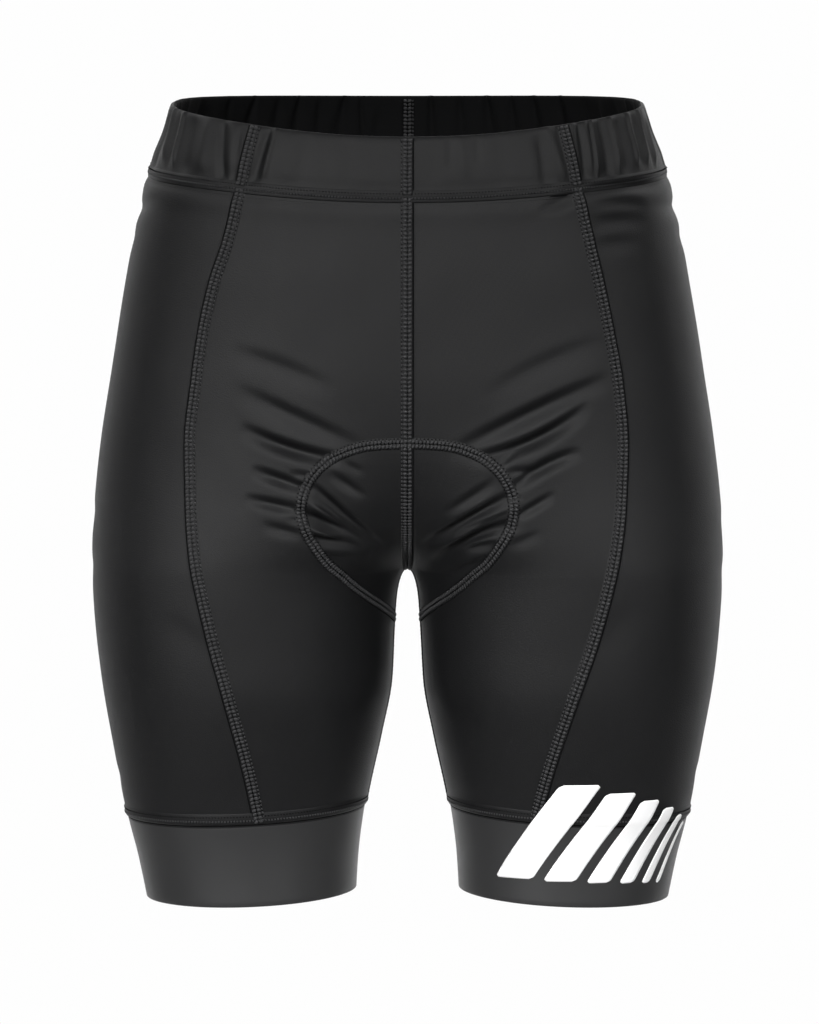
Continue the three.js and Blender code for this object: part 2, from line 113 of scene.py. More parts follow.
# Half widths at which the long seams run on the wearer's right and left
FRONT_SEAMS = table("z right left", [
    (0, 83.5, 86.5),
    (-31, 88.6, 90.2),
    (-62, 95.7, 97),
    (-85, 103.4, 102.5),
    (-112, 109.6, 108),
    (-138, 113.3, 112.7),
    (-173, 116.9, 115.7),
    (-206, 116.2, 114.4),
    (-230, 114.4, 111.5),
    (-271, 106.1, 101.8),
    (-312, 95.2, 88),
    (-348, 86.1, 76.5),
    (-382, 79.5, 68),
])
BACK_SEAMS = table("z right left", [
    (23, 80, 80),
    (-40, 90, 90),
    (-120, 108, 108),
    (-190, 117, 117),
    (-240, 113, 113),
    (-310, 95, 95),
    (-382, 78, 78),
])

# Seat pad outline: half width by distance along the rise from the fork, the front negative
PAD_OUTLINE = table("along half", [
    (-122, 4),
    (-118, 24),
    (-106, 44),
    (-88, 55),
    (-68, 52),
    (-40, 39),
    (0, 30),
    (40, 44),
    (80, 70),
    (112, 76),
    (138, 62),
    (150, 34),
    (153, 5),
])


class Face(Enum):
    """The side of the garment that a fold lies on, by the way its cloth faces."""

    FRONT = (0.0, -1.0)
    BACK = (0.0, 1.0)
    LEFT = (1.0, 0.0)
    RIGHT = (-1.0, 0.0)

    @property
    def axis(self) -> int:
        """The coordinate that runs across this face: x on the front and back, y on the sides."""
        return 0 if self.value[0] == 0 else 1


# The outline's sewing, nearer to the front's upper corners than the pad itself: same columns
SEWN_OUTLINE = table("along half", [
    (-130.2, 4),
    (-129.6, 19),
    (-126.6, 32),
    (-121, 43.5),
    (-113.5, 51.5),
    (-105, 56.5),
    (-98, 58.2),
    (-90.5, 57),
    (-83, 53),
    (-73, 47.2),
    (-63, 40.5),
    (-51, 35.2),
    (-35, 31),
    (-15, 29),
    (8, 31),
    (40, 46),
    (80, 70),
    (112, 76),
    (138, 62),
    (150, 34),
    (153, 5),
])

# Folds of each face, from (a, az) to (b, bz): a and b run across the face. bow: how far its middle rises over
# the straight line. A negative depth is a ridge.
FOLD_COLUMNS = "a az b bz bow width depth"
FOLDS = {
    Face.FRONT: table(FOLD_COLUMNS, [
        (-90, -119, -42, -137, 1, 6.5, 1.3),
        (-86, -141, -26, -169, 0, 5.6, 2.1),
        (-84, -162, -36, -177, -2.0, 4.2, 4.6),
        (-80, -183.5, -52, -193.5, 0, 3.5, 3.2),
        (-62, -185.5, -51, -187, 0, 2.0, 1.2),
        (-84, -198.5, -56, -204.5, 0, 3.4, 2.6),
        (-76, -212.5, -56, -218, 0, 3.4, 1.4),
        (44, -140, 100, -114, 2, 7.0, 1.0),
        (27, -171, 100, -136, 1, 5.2, 3.0),
        (36, -176, 92, -151, -4, 4.3, 4.8),
        (48, -181.5, 57, -174.5, 0, 1.9, 1.6),
        (54, -185, 68, -183, 0, 2.2, 1.4),
        (55, -193, 88, -174, 2, 3.6, 3.4),
        (56, -209.5, 76, -197, 0, 2.8, 1.8),
        (54, -224.5, 69, -217, 0, 3.4, 0.8),
        (-33, -179.5, -23, -185, 0, 2.4, 0.8),
        (-40, -185, -23, -197, 0, 3.0, 1.9),
        (-50.5, -191.5, -16, -223, 0.5, 2.7, 4.2),
        (-48, -199, -19, -225, 0, 2.3, 2.8),
        (-57, -205.5, -22, -224, 2, 4.0, 5.2),
        (-52, -219.5, -26, -226, 1, 3.4, 3.8),
        (-46, -229, -26, -233, 0, 3.0, 1.4),
        (20, -206, 44, -190, -0.5, 3.2, 1.9),
        (11, -223, 53, -197, 0.5, 3.2, 4.8),
        (27, -219, 52, -207, 0.5, 2.1, 2.6),
        (15, -233, 55, -211, 2.6, 3.9, 5.0),
        (32, -227, 47, -223, 0, 2.6, 2.0),
        (24, -240, 44, -230, 0, 3.0, 1.3),
        (-52.3, -201, -33.5, -215, 0, 1.9, -1.7),
        (-51.3, -215.5, -35.5, -222.5, 0, 1.7, -1.5),
        (21, -225.5, 51.5, -206, 1, 1.9, -1.5),
        (23, -230.5, 46.5, -219.5, 1, 1.8, -1.4),
        (-60, -192.5, -54, -192, 0, 1.8, 0.9),
        (-63, -210, -55.5, -211.5, 0, 1.8, 0.8),
        (-55, -222, -49, -218.5, 0, 1.8, 0.8),
        (53, -200, 60, -198, 0, 1.8, 0.9),
        (51, -217, 58, -214, 0, 1.8, 0.8),
        (96, -33, 136, -30, 2, 4.2, 2.1),
        (101, -41, 127, -41, 1, 3.4, 1.6),
        (99, -51, 127, -49, 1, 4.6, 1.3),
        (100, -63, 123, -61, 1, 5, 0.9),
        (70, -45, 89, -37, 0, 3.4, 1.7),
        (-128, -262, -104, -282, 2, 9, 0.5),
        (118, -250, 96, -280, -2, 10, 0.5),
    ]),
    Face.BACK: table(FOLD_COLUMNS, [
        (-94, -226, -34, -218, -4, 6, 3.2),
        (-88, -243, -44, -236, -3, 5, 2.6),
        (-70, -258, -36, -252, -2, 4.4, 1.6),
        (-88, -206, -50, -196, 2, 6, 1.5),
        (36, -219, 97, -229, 4, 6, 3.2),
        (46, -238, 86, -246, 3, 5, 2.5),
        (38, -253, 68, -261, 2, 4.4, 1.6),
        (52, -198, 92, -211, -2, 6, 1.6),
        (-30, -70, 34, -74, -3, 7, 1.1),
        (-42, -88, 28, -90, -2, 7, 1.0),
        (-20, -106, 40, -104, -2, 8, 0.7),
        (-66, -184, -92, -176, 1, 5, 1.0),
        (70, -181, 98, -175, 1, 5, 1.0),
        (-118, -34, -86, -30, 1, 4.6, 1.4),
        (94, -33, 124, -37, 1, 4.6, 1.3),
        (-24, -205, -8, -196, 1, 4, 1.2),
        (7, -198, 26, -207, 1, 4, 1.2),
    ]),
    Face.LEFT: table(FOLD_COLUMNS, [
        (-52, -41, 18, -36, -2, 5, 1.4),
        (-30, -56, 34, -52, -2, 6, 1.0),
        (-20, -212, 46, -226, 3, 9, 0.8),
        (-34, -238, 30, -250, 3, 8, 0.6),
        (-16, -352, 34, -361, 2, 6, 0.7),
    ]),
    Face.RIGHT: table(FOLD_COLUMNS, [
        (-46, -38, 26, -40, -2, 5, 1.2),
        (-22, -57, 40, -52, -2, 6, 0.9),
        (-26, -206, 38, -219, 3, 9, 0.8),
        (-30, -234, 26, -249, 3, 8, 0.6),
        (-20, -356, 28, -350, 2, 6, 0.7),
    ]),
}

# Gathers of the waistband, by distance round from the middle of the front, the wearer's left positive.
# top and foot: where it crosses the upper edge and the seam. tip and width: its width there.
# low and high: the share of the height it covers.
GATHERS = table("top foot tip width height low high", [
    (-163, -160, 3, 4, -1.2, 0.1, 1),
    (-154.5, -146, 2.6, 3.2, 1.6, 0.3, 1.1),
    (-146, -140, 2, 2.6, -0.9, 0.2, 1),
    (-139.5, -135, 1.1, 1.1, 1.5, 0.25, 1.1),
    (-130, -127, 6, 5.4, -1.7, 0.15, 1),
    (-116, -114, 4, 4.6, 1.0, 0.2, 0.95),
    (-105.8, -99, 3, 2.6, -1.5, 0.1, 0.95),
    (-99, -93, 4, 4, 0.8, 0.3, 0.95),
    (-94, -93, 1.6, 2, -0.6, 0.1, 0.9),
    (-72.5, -78, 1.5, 2, 0.9, 0.2, 1),
    (-76.5, -83, 2.2, 3.2, -1.5, 0.1, 0.95),
    (-62, -64, 5, 5, 0.35, 0.2, 1),
    (-54, -58, 4.4, 4.4, -0.45, 0.1, 0.9),
    (-30, -32, 5, 5, -0.3, 0.2, 0.9),
    (14, 12, 5, 5, -0.3, 0.2, 0.9),
    (23, 22, 2.2, 2.6, -0.8, 0.5, 1),
    (29, 31, 2.2, 3, 0.5, 0.35, 1),
    (38, 37, 2.6, 3, -0.7, 0.55, 1),
    (50, 51, 4.5, 4.5, -0.45, 0.1, 0.9),
    (72, 74, 3.6, 3.6, -1.3, 0.05, 0.85),
    (77.5, 84, 2.6, 3.4, 1.2, 0.1, 1.1),
    (97, 96, 1.8, 3, -1.2, 0.1, 1),
    (101, 98.5, 2.2, 2.4, 0.8, 0.2, 1),
    (105.5, 103, 0.95, 0.95, 1.6, 0.15, 1.1),
    (112, 110, 4, 4, -1.9, 0.1, 1),
    (119.3, 117.5, 0.95, 0.95, 1.7, 0.2, 1.1),
    (126, 124, 4.2, 3.6, -1.5, 0.15, 1),
    (135.3, 132, 1.0, 1.0, 1.6, 0.25, 1.1),
    (142, 137, 2.8, 2.6, -1.1, 0.2, 1),
    (149.5, 140.5, 1.2, 1.1, 1.6, 0.25, 1.1),
    (156, 147, 2.2, 1.6, -0.8, 0.2, 1),
    (164, 150, 1.6, 1.4, 1.1, 0.2, 0.8),
])

# Height of the waistband's face, by share of its own height
BAND_PROFILE = table("up height", [(0, -0.1), (0.12, -0.1), (0.3, 0.35), (0.6, 0.45), (0.86, 0.2), (1, -0.4)])

# The back's gathers, by distance from its middle: bulges, narrow at the top, that show as dark wedges inside
BACK_GATHERS = table("top foot tip width height low high", [
    (-85, -90, 1.2, 6, 1.9, -0.2, 1),
    (-70, -69, 1.4, 6.5, 1.6, -0.2, 0.9),
    (-57, -58, 1.2, 6, 2.0, -0.2, 0.95),
    (-45, -43, 1.1, 5.5, 1.6, -0.2, 0.9),
    (-30, -33, 1.3, 7, 2.2, -0.2, 1),
    (-21, -17, 0.9, 3.2, 1.5, -0.2, 0.9),
    (-9, -11, 1.2, 4.5, 1.2, -0.2, 0.7),
    (6.5, 7, 1.3, 3.4, 2.0, -0.2, 1.05),
    (23.5, 24, 1.2, 5, 1.6, -0.2, 0.95),
    (39.5, 41, 1.4, 6.5, 2.3, -0.2, 1.05),
    (54.5, 53, 1.1, 5.5, 1.7, -0.2, 0.95),
    (68, 67, 1.3, 6.5, 2.1, -0.2, 1.05),
    (85, 84, 1.3, 6, 2.0, -0.2, 1.05),
])


def smooth_step(low: float, high: float, x: Array) -> Array:
    """Rises smoothly from 0 at low to 1 at high: 3t^2 - 2t^3 of the share t."""
    t = np.clip((x - low) / (high - low), 0, 1)
    return t * t * (3 - 2 * t)


def mix(a: Array, b: Array, t: Array) -> Array:
    """The value a share t of the way from a to b."""
    return a + (b - a) * t


def unit(vectors: Array) -> Array:
    """Vectors of length 1 along the last axis."""
    return vectors / np.linalg.norm(vectors, axis=-1, keepdims=True)


def path_runs(points: Array) -> Array:
    """Distances along lines of points, each from its own start; the lines run along the last axis but one."""
    steps = np.linalg.norm(np.diff(points, axis=-2), axis=-1)
    return np.concatenate([np.zeros_like(steps[..., :1]), np.cumsum(steps, axis=-1)], axis=-1)


def resample(points: Array, runs: Array, wanted: Array) -> Array:
    """Points at wanted distances along each line of a set.

    The lines are laid end to end, so that one straight interpolation serves them all.

    Args:
        points: Lines x samples x 3.
        runs: Lines x samples, the distance of each sample along its line.
        wanted: Lines x count, the distances asked for.

    Returns:
        Lines x count x 3 points.
    """
    shift = np.arange(len(runs))[:, None] * (runs.max() + 1)
    at = (np.clip(wanted, 0, runs[:, -1:]) + shift).ravel()
    axes = [np.interp(at, (runs + shift).ravel(), points[..., k].ravel()) for k in range(3)]
    return np.stack(axes, axis=-1).reshape(*wanted.shape, 3)


@dataclass(frozen=True)
class TableCurve:
    """A smooth curve through a table's rows that never overshoots them.

    Attributes:
        places: Where the rows are, rising.
        values: The curve's value at each row.
    """

    places: Array
    values: Array

    @classmethod
    def through(cls, rows: Array, key: str, column: str) -> "TableCurve":
        """The curve through one column of a table, against another."""
        order = np.argsort(rows[key])
        return cls(rows[key][order], rows[column][order])

    @cached_property
    def slopes(self) -> Array:
        """Slope at each row: the harmonic mean of its neighbours' rises, or 0 where they change sign."""
        rises = np.diff(self.values) / np.diff(self.places)
        product = rises[:-1] * rises[1:]
        total = np.where(product > 0, rises[:-1] + rises[1:], 1)
        return np.concatenate([rises[:1], np.where(product > 0, 2 * product / total, 0), rises[-1:]])

    def __call__(self, at: Array) -> Array:
        """The cubic between the two rows beside each place."""
        x = np.clip(at, self.places[0], self.places[-1])
        i = np.clip(np.searchsorted(self.places, x) - 1, 0, len(self.places) - 2)
        span = self.places[i + 1] - self.places[i]
        t = (x - self.places[i]) / span
        lead = self.values[i] * (1 + 2 * t) * (1 - t) ** 2 + self.slopes[i] * span * t * (1 - t) ** 2
        return lead + self.values[i + 1] * t * t * (3 - 2 * t) + self.slopes[i + 1] * span * t * t * (t - 1)


class Cut(NamedTuple):
    """A level cut through the garment at each of some heights."""

    side: Array
    front: Array
    back: Array
    centre: Array
    half: Array
    legs: Array


@dataclass(frozen=True)
class Figure:
    """The form that the shorts are filled out to, with the lines of their edges.

    Attributes:
        torso_power: How square the hips' oval is.
        leg_power: How square each leg's oval is.
        field_scale: Millimetres for one unit of an oval's reach.
        crotch_softness: How softly the two legs run together.
        torso_ends: Height at which the hips' oval begins to turn into the legs'.
        legs_begin: Height at which it has.
        fork_search: Heights between which the fork lies.
        waist_front, waist_back, waist_hip_lift: The waistband's upper edge.
        band_height, band_hip_extra: The waistband's height at its middles, and what the hips add.
        grip_seam, grip_lift: Height of the grip band's seam, and its rise at the inseam.
        hem, hem_lift: The same of the hem.
        gradient_step, bisections, reach: Step of the slope, halvings in a search, and the longest ray.
    """

    torso_power: float = 2.5
    leg_power: float = 2.08
    field_scale: float = 80.0
    crotch_softness: float = 4.0
    torso_ends: float = -100.0
    legs_begin: float = -246.0
    fork_search: tuple[float, float] = (-262.0, -225.0)
    waist_front: float = -7.4
    waist_back: float = 22.2
    waist_hip_lift: float = 7.4
    band_height: float = 32.5
    band_hip_extra: float = 4.0
    grip_seam: float = -379.4
    grip_lift: float = 6.0
    hem: float = -425.5
    hem_lift: float = 4.6
    gradient_step: float = 0.4
    bisections: int = 34
    reach: float = 260.0

    @cached_property
    def curves(self) -> dict[str, TableCurve]:
        """Each column of the sections as a curve of the height."""
        return {name: TableCurve.through(SECTIONS, "z", name) for name in ("side", "inner", "front", "back")}

    def cut(self, z: Array) -> Cut:
        """The level cut at each height."""
        side, inner, front, back = (self.curves[name](z) for name in ("side", "inner", "front", "back"))
        legs = smooth_step(-self.torso_ends, -self.legs_begin, -z)
        return Cut(side, front, back, (side + inner) / 2, (side - inner) / 2, legs)

    def oval(self, dx: Array, dy: Array, power: float) -> Array:
        """Zero on an oval of half widths 1: the power mean of |dx| and |dy|, less 1, in millimetres."""
        return ((np.abs(dx) ** power + np.abs(dy) ** power) ** (1 / power) - 1) * self.field_scale

    def field(self, cut: Cut, x: Array, y: Array) -> Array:
        """Zero on the cloth and negative inside.

        The hips' oval turns, by the cut's share of legs, into the soft minimum of two leg ovals:
        minus s log(exp(-near/s) + exp(-far/s)).
        """
        dy = y / np.where(y < 0, cut.front, cut.back)
        torso = self.oval(x / cut.side, dy, self.torso_power)
        near = self.oval((x - cut.centre) / cut.half, dy, self.leg_power)
        far = self.oval((x + cut.centre) / cut.half, dy, self.leg_power)
        soft = self.crotch_softness
        return mix(torso, -soft * np.logaddexp(-near / soft, -far / soft), cut.legs)

    def value(self, points: Array) -> Array:
        """The field at points."""
        return self.field(self.cut(points[..., 2]), points[..., 0], points[..., 1])

    def gradient(self, points: Array) -> Array:
        """The field's slope at points, by central differences."""
        shifts = np.eye(3) * self.gradient_step
        rises = [self.value(points + shift) - self.value(points - shift) for shift in shifts]
        return np.stack(rises, axis=-1) / (2 * self.gradient_step)

    def root(self, rising: Callable[[Array], Array], low: Array, high: Array) -> Array:
        """Halves the stretch from low to high until it holds only where a rising function passes zero."""
        for _ in range(self.bisections):
            middle = (low + high) / 2
            below = rising(middle) < 0
            low = np.where(below, middle, low)
            high = np.where(below, high, middle)
        return (low + high) / 2

    @cached_property
    def fork(self) -> float:
        """Height of the fork, the lowest point of the rise."""
        zero = np.zeros(1)
        low, high = (np.full(1, z) for z in self.fork_search)
        return float(self.root(lambda z: -self.field(self.cut(z), zero, zero), low, high)[0])

    @cached_property
    def rise_heights(self) -> Array:
        """Heights from the fork up to the waist, closest together at the fork: squares of even steps."""
        return self.fork + (self.waist_back + 4 - self.fork) * np.linspace(0, 1, 1500) ** 2

    @cached_property
    def rise_depths(self) -> dict[int, Array]:
        """Depth of the front's (-1) and back's (1) middle line at each of those heights."""
        z = self.rise_heights
        cut, zero = self.cut(z), np.zeros_like(z)
        front = self.root(lambda d: self.field(cut, zero, -d), zero, cut.front * 1.1)
        back = self.root(lambda d: self.field(cut, zero, d), zero, cut.back * 1.1)
        return {-1: front, 1: back}

    def rise_depth(self, z: Array, towards: int) -> Array:
        """Depth at which the middle line of the front (-1) or back (1) crosses each height."""
        return np.interp(z, self.rise_heights, self.rise_depths[towards])

    def ends(self, z: Array) -> tuple[Array, Array]:
        """Angles round a leg's middle at which its half of the cloth begins and ends."""
        centre = self.cut(z).centre
        is_open = z > self.fork + 0.001
        first = np.where(is_open, np.arctan2(-self.rise_depth(z, -1), -centre), -math.pi)
        return first, np.where(is_open, np.arctan2(self.rise_depth(z, 1), -centre), math.pi)

    def face_points(self, z: Array, turn: Array) -> Array:
        """Points of the bare cloth on the half with positive x.

        Each lies where a ray crosses the field's zero. The ray starts on the leg's middle line, and its turn
        runs from the middle of the front (0) round the outside to the middle of the back (1).
        """
        cut = self.cut(z)
        first, last = self.ends(z)
        angle = mix(first, last, turn)
        dx, dy = np.cos(angle), np.sin(angle)
        limit = np.where(dx < 0, np.minimum(self.reach, cut.centre / np.maximum(-dx, 1e-9)), self.reach)
        far = self.root(lambda d: self.field(cut, cut.centre + dx * d, dy * d), np.zeros_like(z), limit)
        return np.stack([np.maximum(0, cut.centre + dx * far), dy * far, z], axis=-1)

    def turn_of(self, points: Array) -> Array:
        """The turn at which points lie, which undoes face_points."""
        z = points[..., 2]
        first, last = self.ends(z)
        angle = np.arctan2(points[..., 1], np.abs(points[..., 0]) - self.cut(z).centre)
        return np.clip((angle - first) / (last - first), 0, 1)

    def top_line(self, turn: Array) -> Array:
        """Height of the waistband's upper edge: a cosine from front to back, with a lift at the hips."""
        share = (1 - np.cos(math.pi * turn)) / 2
        lift = self.waist_hip_lift * np.sin(math.pi * turn) ** 2
        return mix(self.waist_front, self.waist_back, share) + lift

    def band_line(self, turn: Array) -> Array:
        """Height of the waistband's seam."""
        return self.top_line(turn) - self.band_height - self.band_hip_extra * np.sin(math.pi * turn) ** 2

    def inseam_lift(self, turn: Array) -> Array:
        """1 at the inseam, falling to 0 on the outside."""
        return ((1 + np.cos(2 * math.pi * turn)) / 2) ** 2

    def grip_line(self, turn: Array) -> Array:
        """Height of the grip band's seam."""
        return self.grip_seam + self.grip_lift * self.inseam_lift(turn)

    def hem_line(self, turn: Array) -> Array:
        """Height of the hem."""
        return self.hem + self.hem_lift * self.inseam_lift(turn)

    def onto(self, points: Array, rounds: int = 3) -> Array:
        """Moves points near the cloth onto it, along the field's slope."""
        for _ in range(rounds):
            slope = self.gradient(points)
            points = points - slope * (self.value(points) / (slope * slope).sum(-1))[..., None]
        return points


@dataclass(frozen=True)
class HalfLines:
    """Lines round one half of the garment, from the middle of the front to the middle of the back.

    Attributes:
        points: Lines x samples x 3 points of the bare cloth.
        runs: The distance of each along its line.
    """

    points: Array
    runs: Array

    @classmethod
    def at_heights(cls, figure: Figure, heights: Callable[[Array], Array], samples: int = 241) -> "HalfLines":
        """Lines at the heights that a function gives for each turn.

        Args:
            figure: The form that the lines lie on.
            heights: Takes turns of shape (1, samples) and gives heights of shape (lines, samples).
            samples: Points on each line.

        Returns:
            The lines.
        """
        turn = np.linspace(0, 1, samples)[None, :]
        z = heights(turn)
        points = figure.face_points(z, np.broadcast_to(turn, z.shape))
        return cls(points, path_runs(points))

    @property
    def lengths(self) -> Array:
        """Whole length of each line."""
        return self.runs[:, -1]

    def at(self, wanted: Array) -> Array:
        """Points at distances along each line."""
        return resample(self.points, self.runs, wanted)

    def crossing(self, seam: TableCurve, from_back: bool) -> Array:
        """Distance along each line at which it first crosses a seam's half width, from its front or back."""
        over = self.points[..., 0] - seam(self.points[..., 2])
        runs = self.runs
        if from_back:
            over, runs = over[:, ::-1], runs[:, ::-1]
        steps = (over[:, :-1] < 0) & (over[:, 1:] >= 0)
        k = steps.argmax(axis=1)
        row = np.arange(len(k))
        share = over[row, k] / (over[row, k] - over[row, k + 1])
        return mix(runs[row, k], runs[row, k + 1], share)


@dataclass(frozen=True)
class Garment:
    """The worn shorts' outer face: the figure with its folds, the waistband and the grip bands.

    Attributes:
        figure: The form underneath.
        facing_begins, facing_full: How far the cloth must face a side for that side's folds to show.
        fold_above, fold_below: Width of a fold's two walls, as shares of its own.
        fold_overrun: Share of its length by which a fold fades out past each end.
        fold_power: How quickly it deepens from its ends.
        fold_lip: How far the cloth stands out beside it.
        fold_drop: How far the trough lies under the table's line, which is its dark upper wall.
        tuck_width, tuck_depth, tuck_drop: The narrow valley under the waistband's seam, and how far under.
        puff_drop, puff_width, puff_height: The small swelling under it, and how far under.
        puff_middle: Its share of that height at the middles of the front and back.
        gather_fall: How far down the waistband's gathers carry on.
        gather_share: How much of their height is left just under the seam.
        sway: Height of the slow unevenness of the whole surface.
        cloth_wall, band_wall, grip_wall: Thicknesses.
        band_proud: How far the waistband stands out from the body.
        grip_inset: How far the grip bands lie under the body's face.
        join_width: Over how much height one face runs into the next.
    """

    figure: Figure
    facing_begins: float = 0.05
    facing_full: float = 0.4
    fold_above: float = 0.78
    fold_below: float = 1.3
    fold_overrun: float = 0.12
    fold_power: float = 1.2
    fold_lip: float = 0.6
    fold_drop: float = 0.5
    tuck_width: float = 2.6
    tuck_depth: float = 0.5
    tuck_drop: float = 3.3
    puff_drop: float = 9.0
    puff_width: float = 5.5
    puff_height: float = 0.8
    puff_middle: float = 0.35
    gather_fall: float = 9.0
    gather_share: float = 0.4
    sway: float = 0.22
    cloth_wall: float = 0.9
    band_wall: float = 3.0
    grip_wall: float = 1.3
    band_proud: float = 0.5
    grip_inset: float = 0.4
    join_width: float = 1.0

    def fold_relief(self, fold: np.void, across: Array, z: Array) -> Array:
        """How far one fold moves the cloth.

        Along the fold the depth follows a sine to a power. Across it, in widths w off a line bowed as a
        parabola, it is (1 - lip w^2) exp(-w^2), so that the cloth stands out a little beside the trough. The
        wall above it is steeper than the one below, which the cloth's weight draws out.
        """
        span_a, span_z = fold["b"] - fold["a"], fold["bz"] - fold["az"]
        length = math.hypot(span_a, span_z)
        t = ((across - fold["a"]) * span_a + (z - fold["az"]) * span_z) / length**2
        off = ((z - fold["az"]) * span_a - (across - fold["a"]) * span_z) / length
        off = off * np.sign(span_a) - fold["bow"] * 4 * t * (1 - t) + self.fold_drop * fold["width"]
        off = off / (fold["width"] * np.where(off > 0, self.fold_above, self.fold_below))
        along = (t + self.fold_overrun) / (1 + 2 * self.fold_overrun)
        ease = np.sin(math.pi * np.clip(along, 0, 1)) ** self.fold_power
        return -fold["depth"] * ease * (1 - self.fold_lip * off * off) * np.exp(-off * off)

    def folds(self, points: Array, normals: Array) -> Array:
        """The sum of all folds, each weighed by how far the cloth faces the fold's own side."""
        total = np.zeros(points.shape[:-1])
        for face, rows in FOLDS.items():
            facing = normals[..., 0] * face.value[0] + normals[..., 1] * face.value[1]
            weight = smooth_step(self.facing_begins, self.facing_full, facing)
            if face.axis == 1:
                weight = weight * (points[..., 0] * face.value[0] > 60)
            for fold in rows:
                total += weight * self.fold_relief(fold, points[..., face.axis], points[..., 2])
        return total

    def unevenness(self, points: Array) -> Array:
        """Crossing sine waves, 60 to 200 mm long, so that no stretch of cloth is perfectly even."""
        x, y, z = (points[..., k] for k in range(3))
        first = np.sin(x / 9.5 + 1.3 * np.sin(z / 31)) * np.sin(z / 14.2 + 0.8)
        second = np.sin(y / 11.3 + z / 21.7 + 2.1)
        return self.sway * (0.6 * first + 0.4 * second)

    def band_face(self, arc: Array, up: Array) -> Array:
        """Height of the waistband's face: its own profile up the band and its gathers."""
        profile = TableCurve.through(BAND_PROFILE, "up", "height")
        return self.band_proud + profile(up) + gather_relief(arc, up)

    def arc_of(self, points: Array, turn: Array) -> Array:
        """Distance round the waist from the middle of the front, the wearer's left positive."""
        return np.sign(points[..., 0]) * np.interp(turn, *self.waist_runs)

    @cached_property
    def waist_runs(self) -> tuple[Array, Array]:
        """Turns, and how far round the waistband's middle each is."""
        turn = np.linspace(0, 1, 241)
        middle = (self.figure.top_line(turn) + self.figure.band_line(turn)) / 2
        return turn, path_runs(self.figure.face_points(middle, turn))

    def face(self, points: Array, normals: Array) -> Array:
        """Height of the outer face over the bare figure, be it body, waistband or grip band."""
        figure = self.figure
        turn = figure.turn_of(points)
        over = points[..., 2] - figure.band_line(turn)
        up = np.clip(over / (figure.top_line(turn) - figure.band_line(turn)), 0, 1)
        arc = self.arc_of(points, turn)
        tuck = -self.tuck_depth * np.exp(-(((over + self.tuck_drop) / self.tuck_width) ** 2))
        side = mix(self.puff_middle, 1.0, np.sin(math.pi * turn) ** 2)
        puff = self.puff_height * side * np.exp(-(((over + self.puff_drop) / self.puff_width) ** 2))
        fall = np.exp(np.minimum(over, 0) / self.gather_fall)
        gather = self.gather_share * gather_relief(arc, np.zeros_like(arc)) * fall
        body = self.folds(points, normals) + self.unevenness(points) + puff + gather
        in_band = smooth_step(-self.join_width, self.join_width, over)
        in_grip = smooth_step(-self.join_width, self.join_width, figure.grip_line(turn) - points[..., 2])
        plain = mix(body, np.full_like(body, -self.grip_inset), in_grip)
        return mix(plain, self.band_face(arc, up), in_band) + tuck

    def wall(self, points: Array) -> Array:
        """Thickness of what is at each point."""
        turn = self.figure.turn_of(points)
        in_band = smooth_step(-self.join_width, self.join_width, points[..., 2] - self.figure.band_line(turn))
        in_grip = smooth_step(-self.join_width, self.join_width, self.figure.grip_line(turn) - points[..., 2])
        return mix(mix(self.cloth_wall, self.grip_wall, in_grip), self.band_wall, in_band)

    def lift(self, points: Array, height: Array | float = 0.0, inside: bool = False) -> tuple[Array, Array]:
        """Lays points of the bare figure on the garment.

        Args:
            points: Points of the bare figure.
            height: How far off the face each goes.
            inside: Whether they go on the inner face, away from the cloth.

        Returns:
            The moved points, and the normals there that point away from the face.
        """
        normals = unit(self.figure.gradient(points))
        out = self.face(points, normals)
        out = out - self.wall(points) - height if inside else out + height
        return points + normals * out[..., None], -normals if inside else normals


def gather_relief(arc: Array, up: Array) -> Array:
    """Height of the waistband's gathers.

    Each gather leans from its foot to its top and has the profile exp(-w^2) across, in widths w. Along it,
    it fades in and out at the shares of the height that the table gives.

    Args:
        arc: Distance round from the middle of the front, the wearer's left positive.
        up: Share of the waistband's height, from the seam.

    Returns:
        The height at each place.
    """
    ease_in, ease_out = 0.12, 0.15
    total = np.zeros(np.broadcast(arc, up).shape)
    for row in np.concatenate([GATHERS, hidden_gathers()]):
        off = (arc - mix(row["foot"], row["top"], up)) / mix(row["width"], row["tip"], up)
        rise = smooth_step(row["low"] - ease_in, row["low"] + ease_in, up)
        fall = 1 - smooth_step(row["high"] - ease_out, row["high"] + ease_out, up)
        total += row["height"] * np.exp(-off * off) * rise * fall
    return total


def hidden_gathers() -> Array:
    """Gathers that the front view doesn't show: the sides', uneven by the golden ratio, and the back's."""
    count = 9
    half_waist = 372.0
    most_lean, least_width, more_width = 6, 1.8, 4.2
    swell, dip = 1.2, -1.3
    k = np.arange(count)
    wander = (k * 0.618034) % 1
    other = (k * 0.381966 + 0.3) % 1
    first, last = 170.0, 276.0
    columns = BACK_GATHERS.dtype.names
    rows = []
    for side in (-1, 1):
        at = side * (first + (last - first) * (k + 0.5 * wander) / count)
        lean = side * most_lean * (other - 0.5)
        width = least_width + more_width * (wander if side > 0 else other)
        height = np.where(k % 2 == 0, swell, dip) * (0.45 + 0.7 * (other if side > 0 else wander))
        ends = (at + lean, at - lean, 0.7 * width, width, height, 0.2 * wander - 0.05, 1 - 0.15 * other)
        rows += list(zip(*ends))
    for row in BACK_GATHERS:
        side = np.sign(row["foot"])
        ends = [side * half_waist - row[name] for name in ("top", "foot")]
        rows.append((*ends, *[row[name] for name in columns[2:]]))
    return table(" ".join(columns), rows)


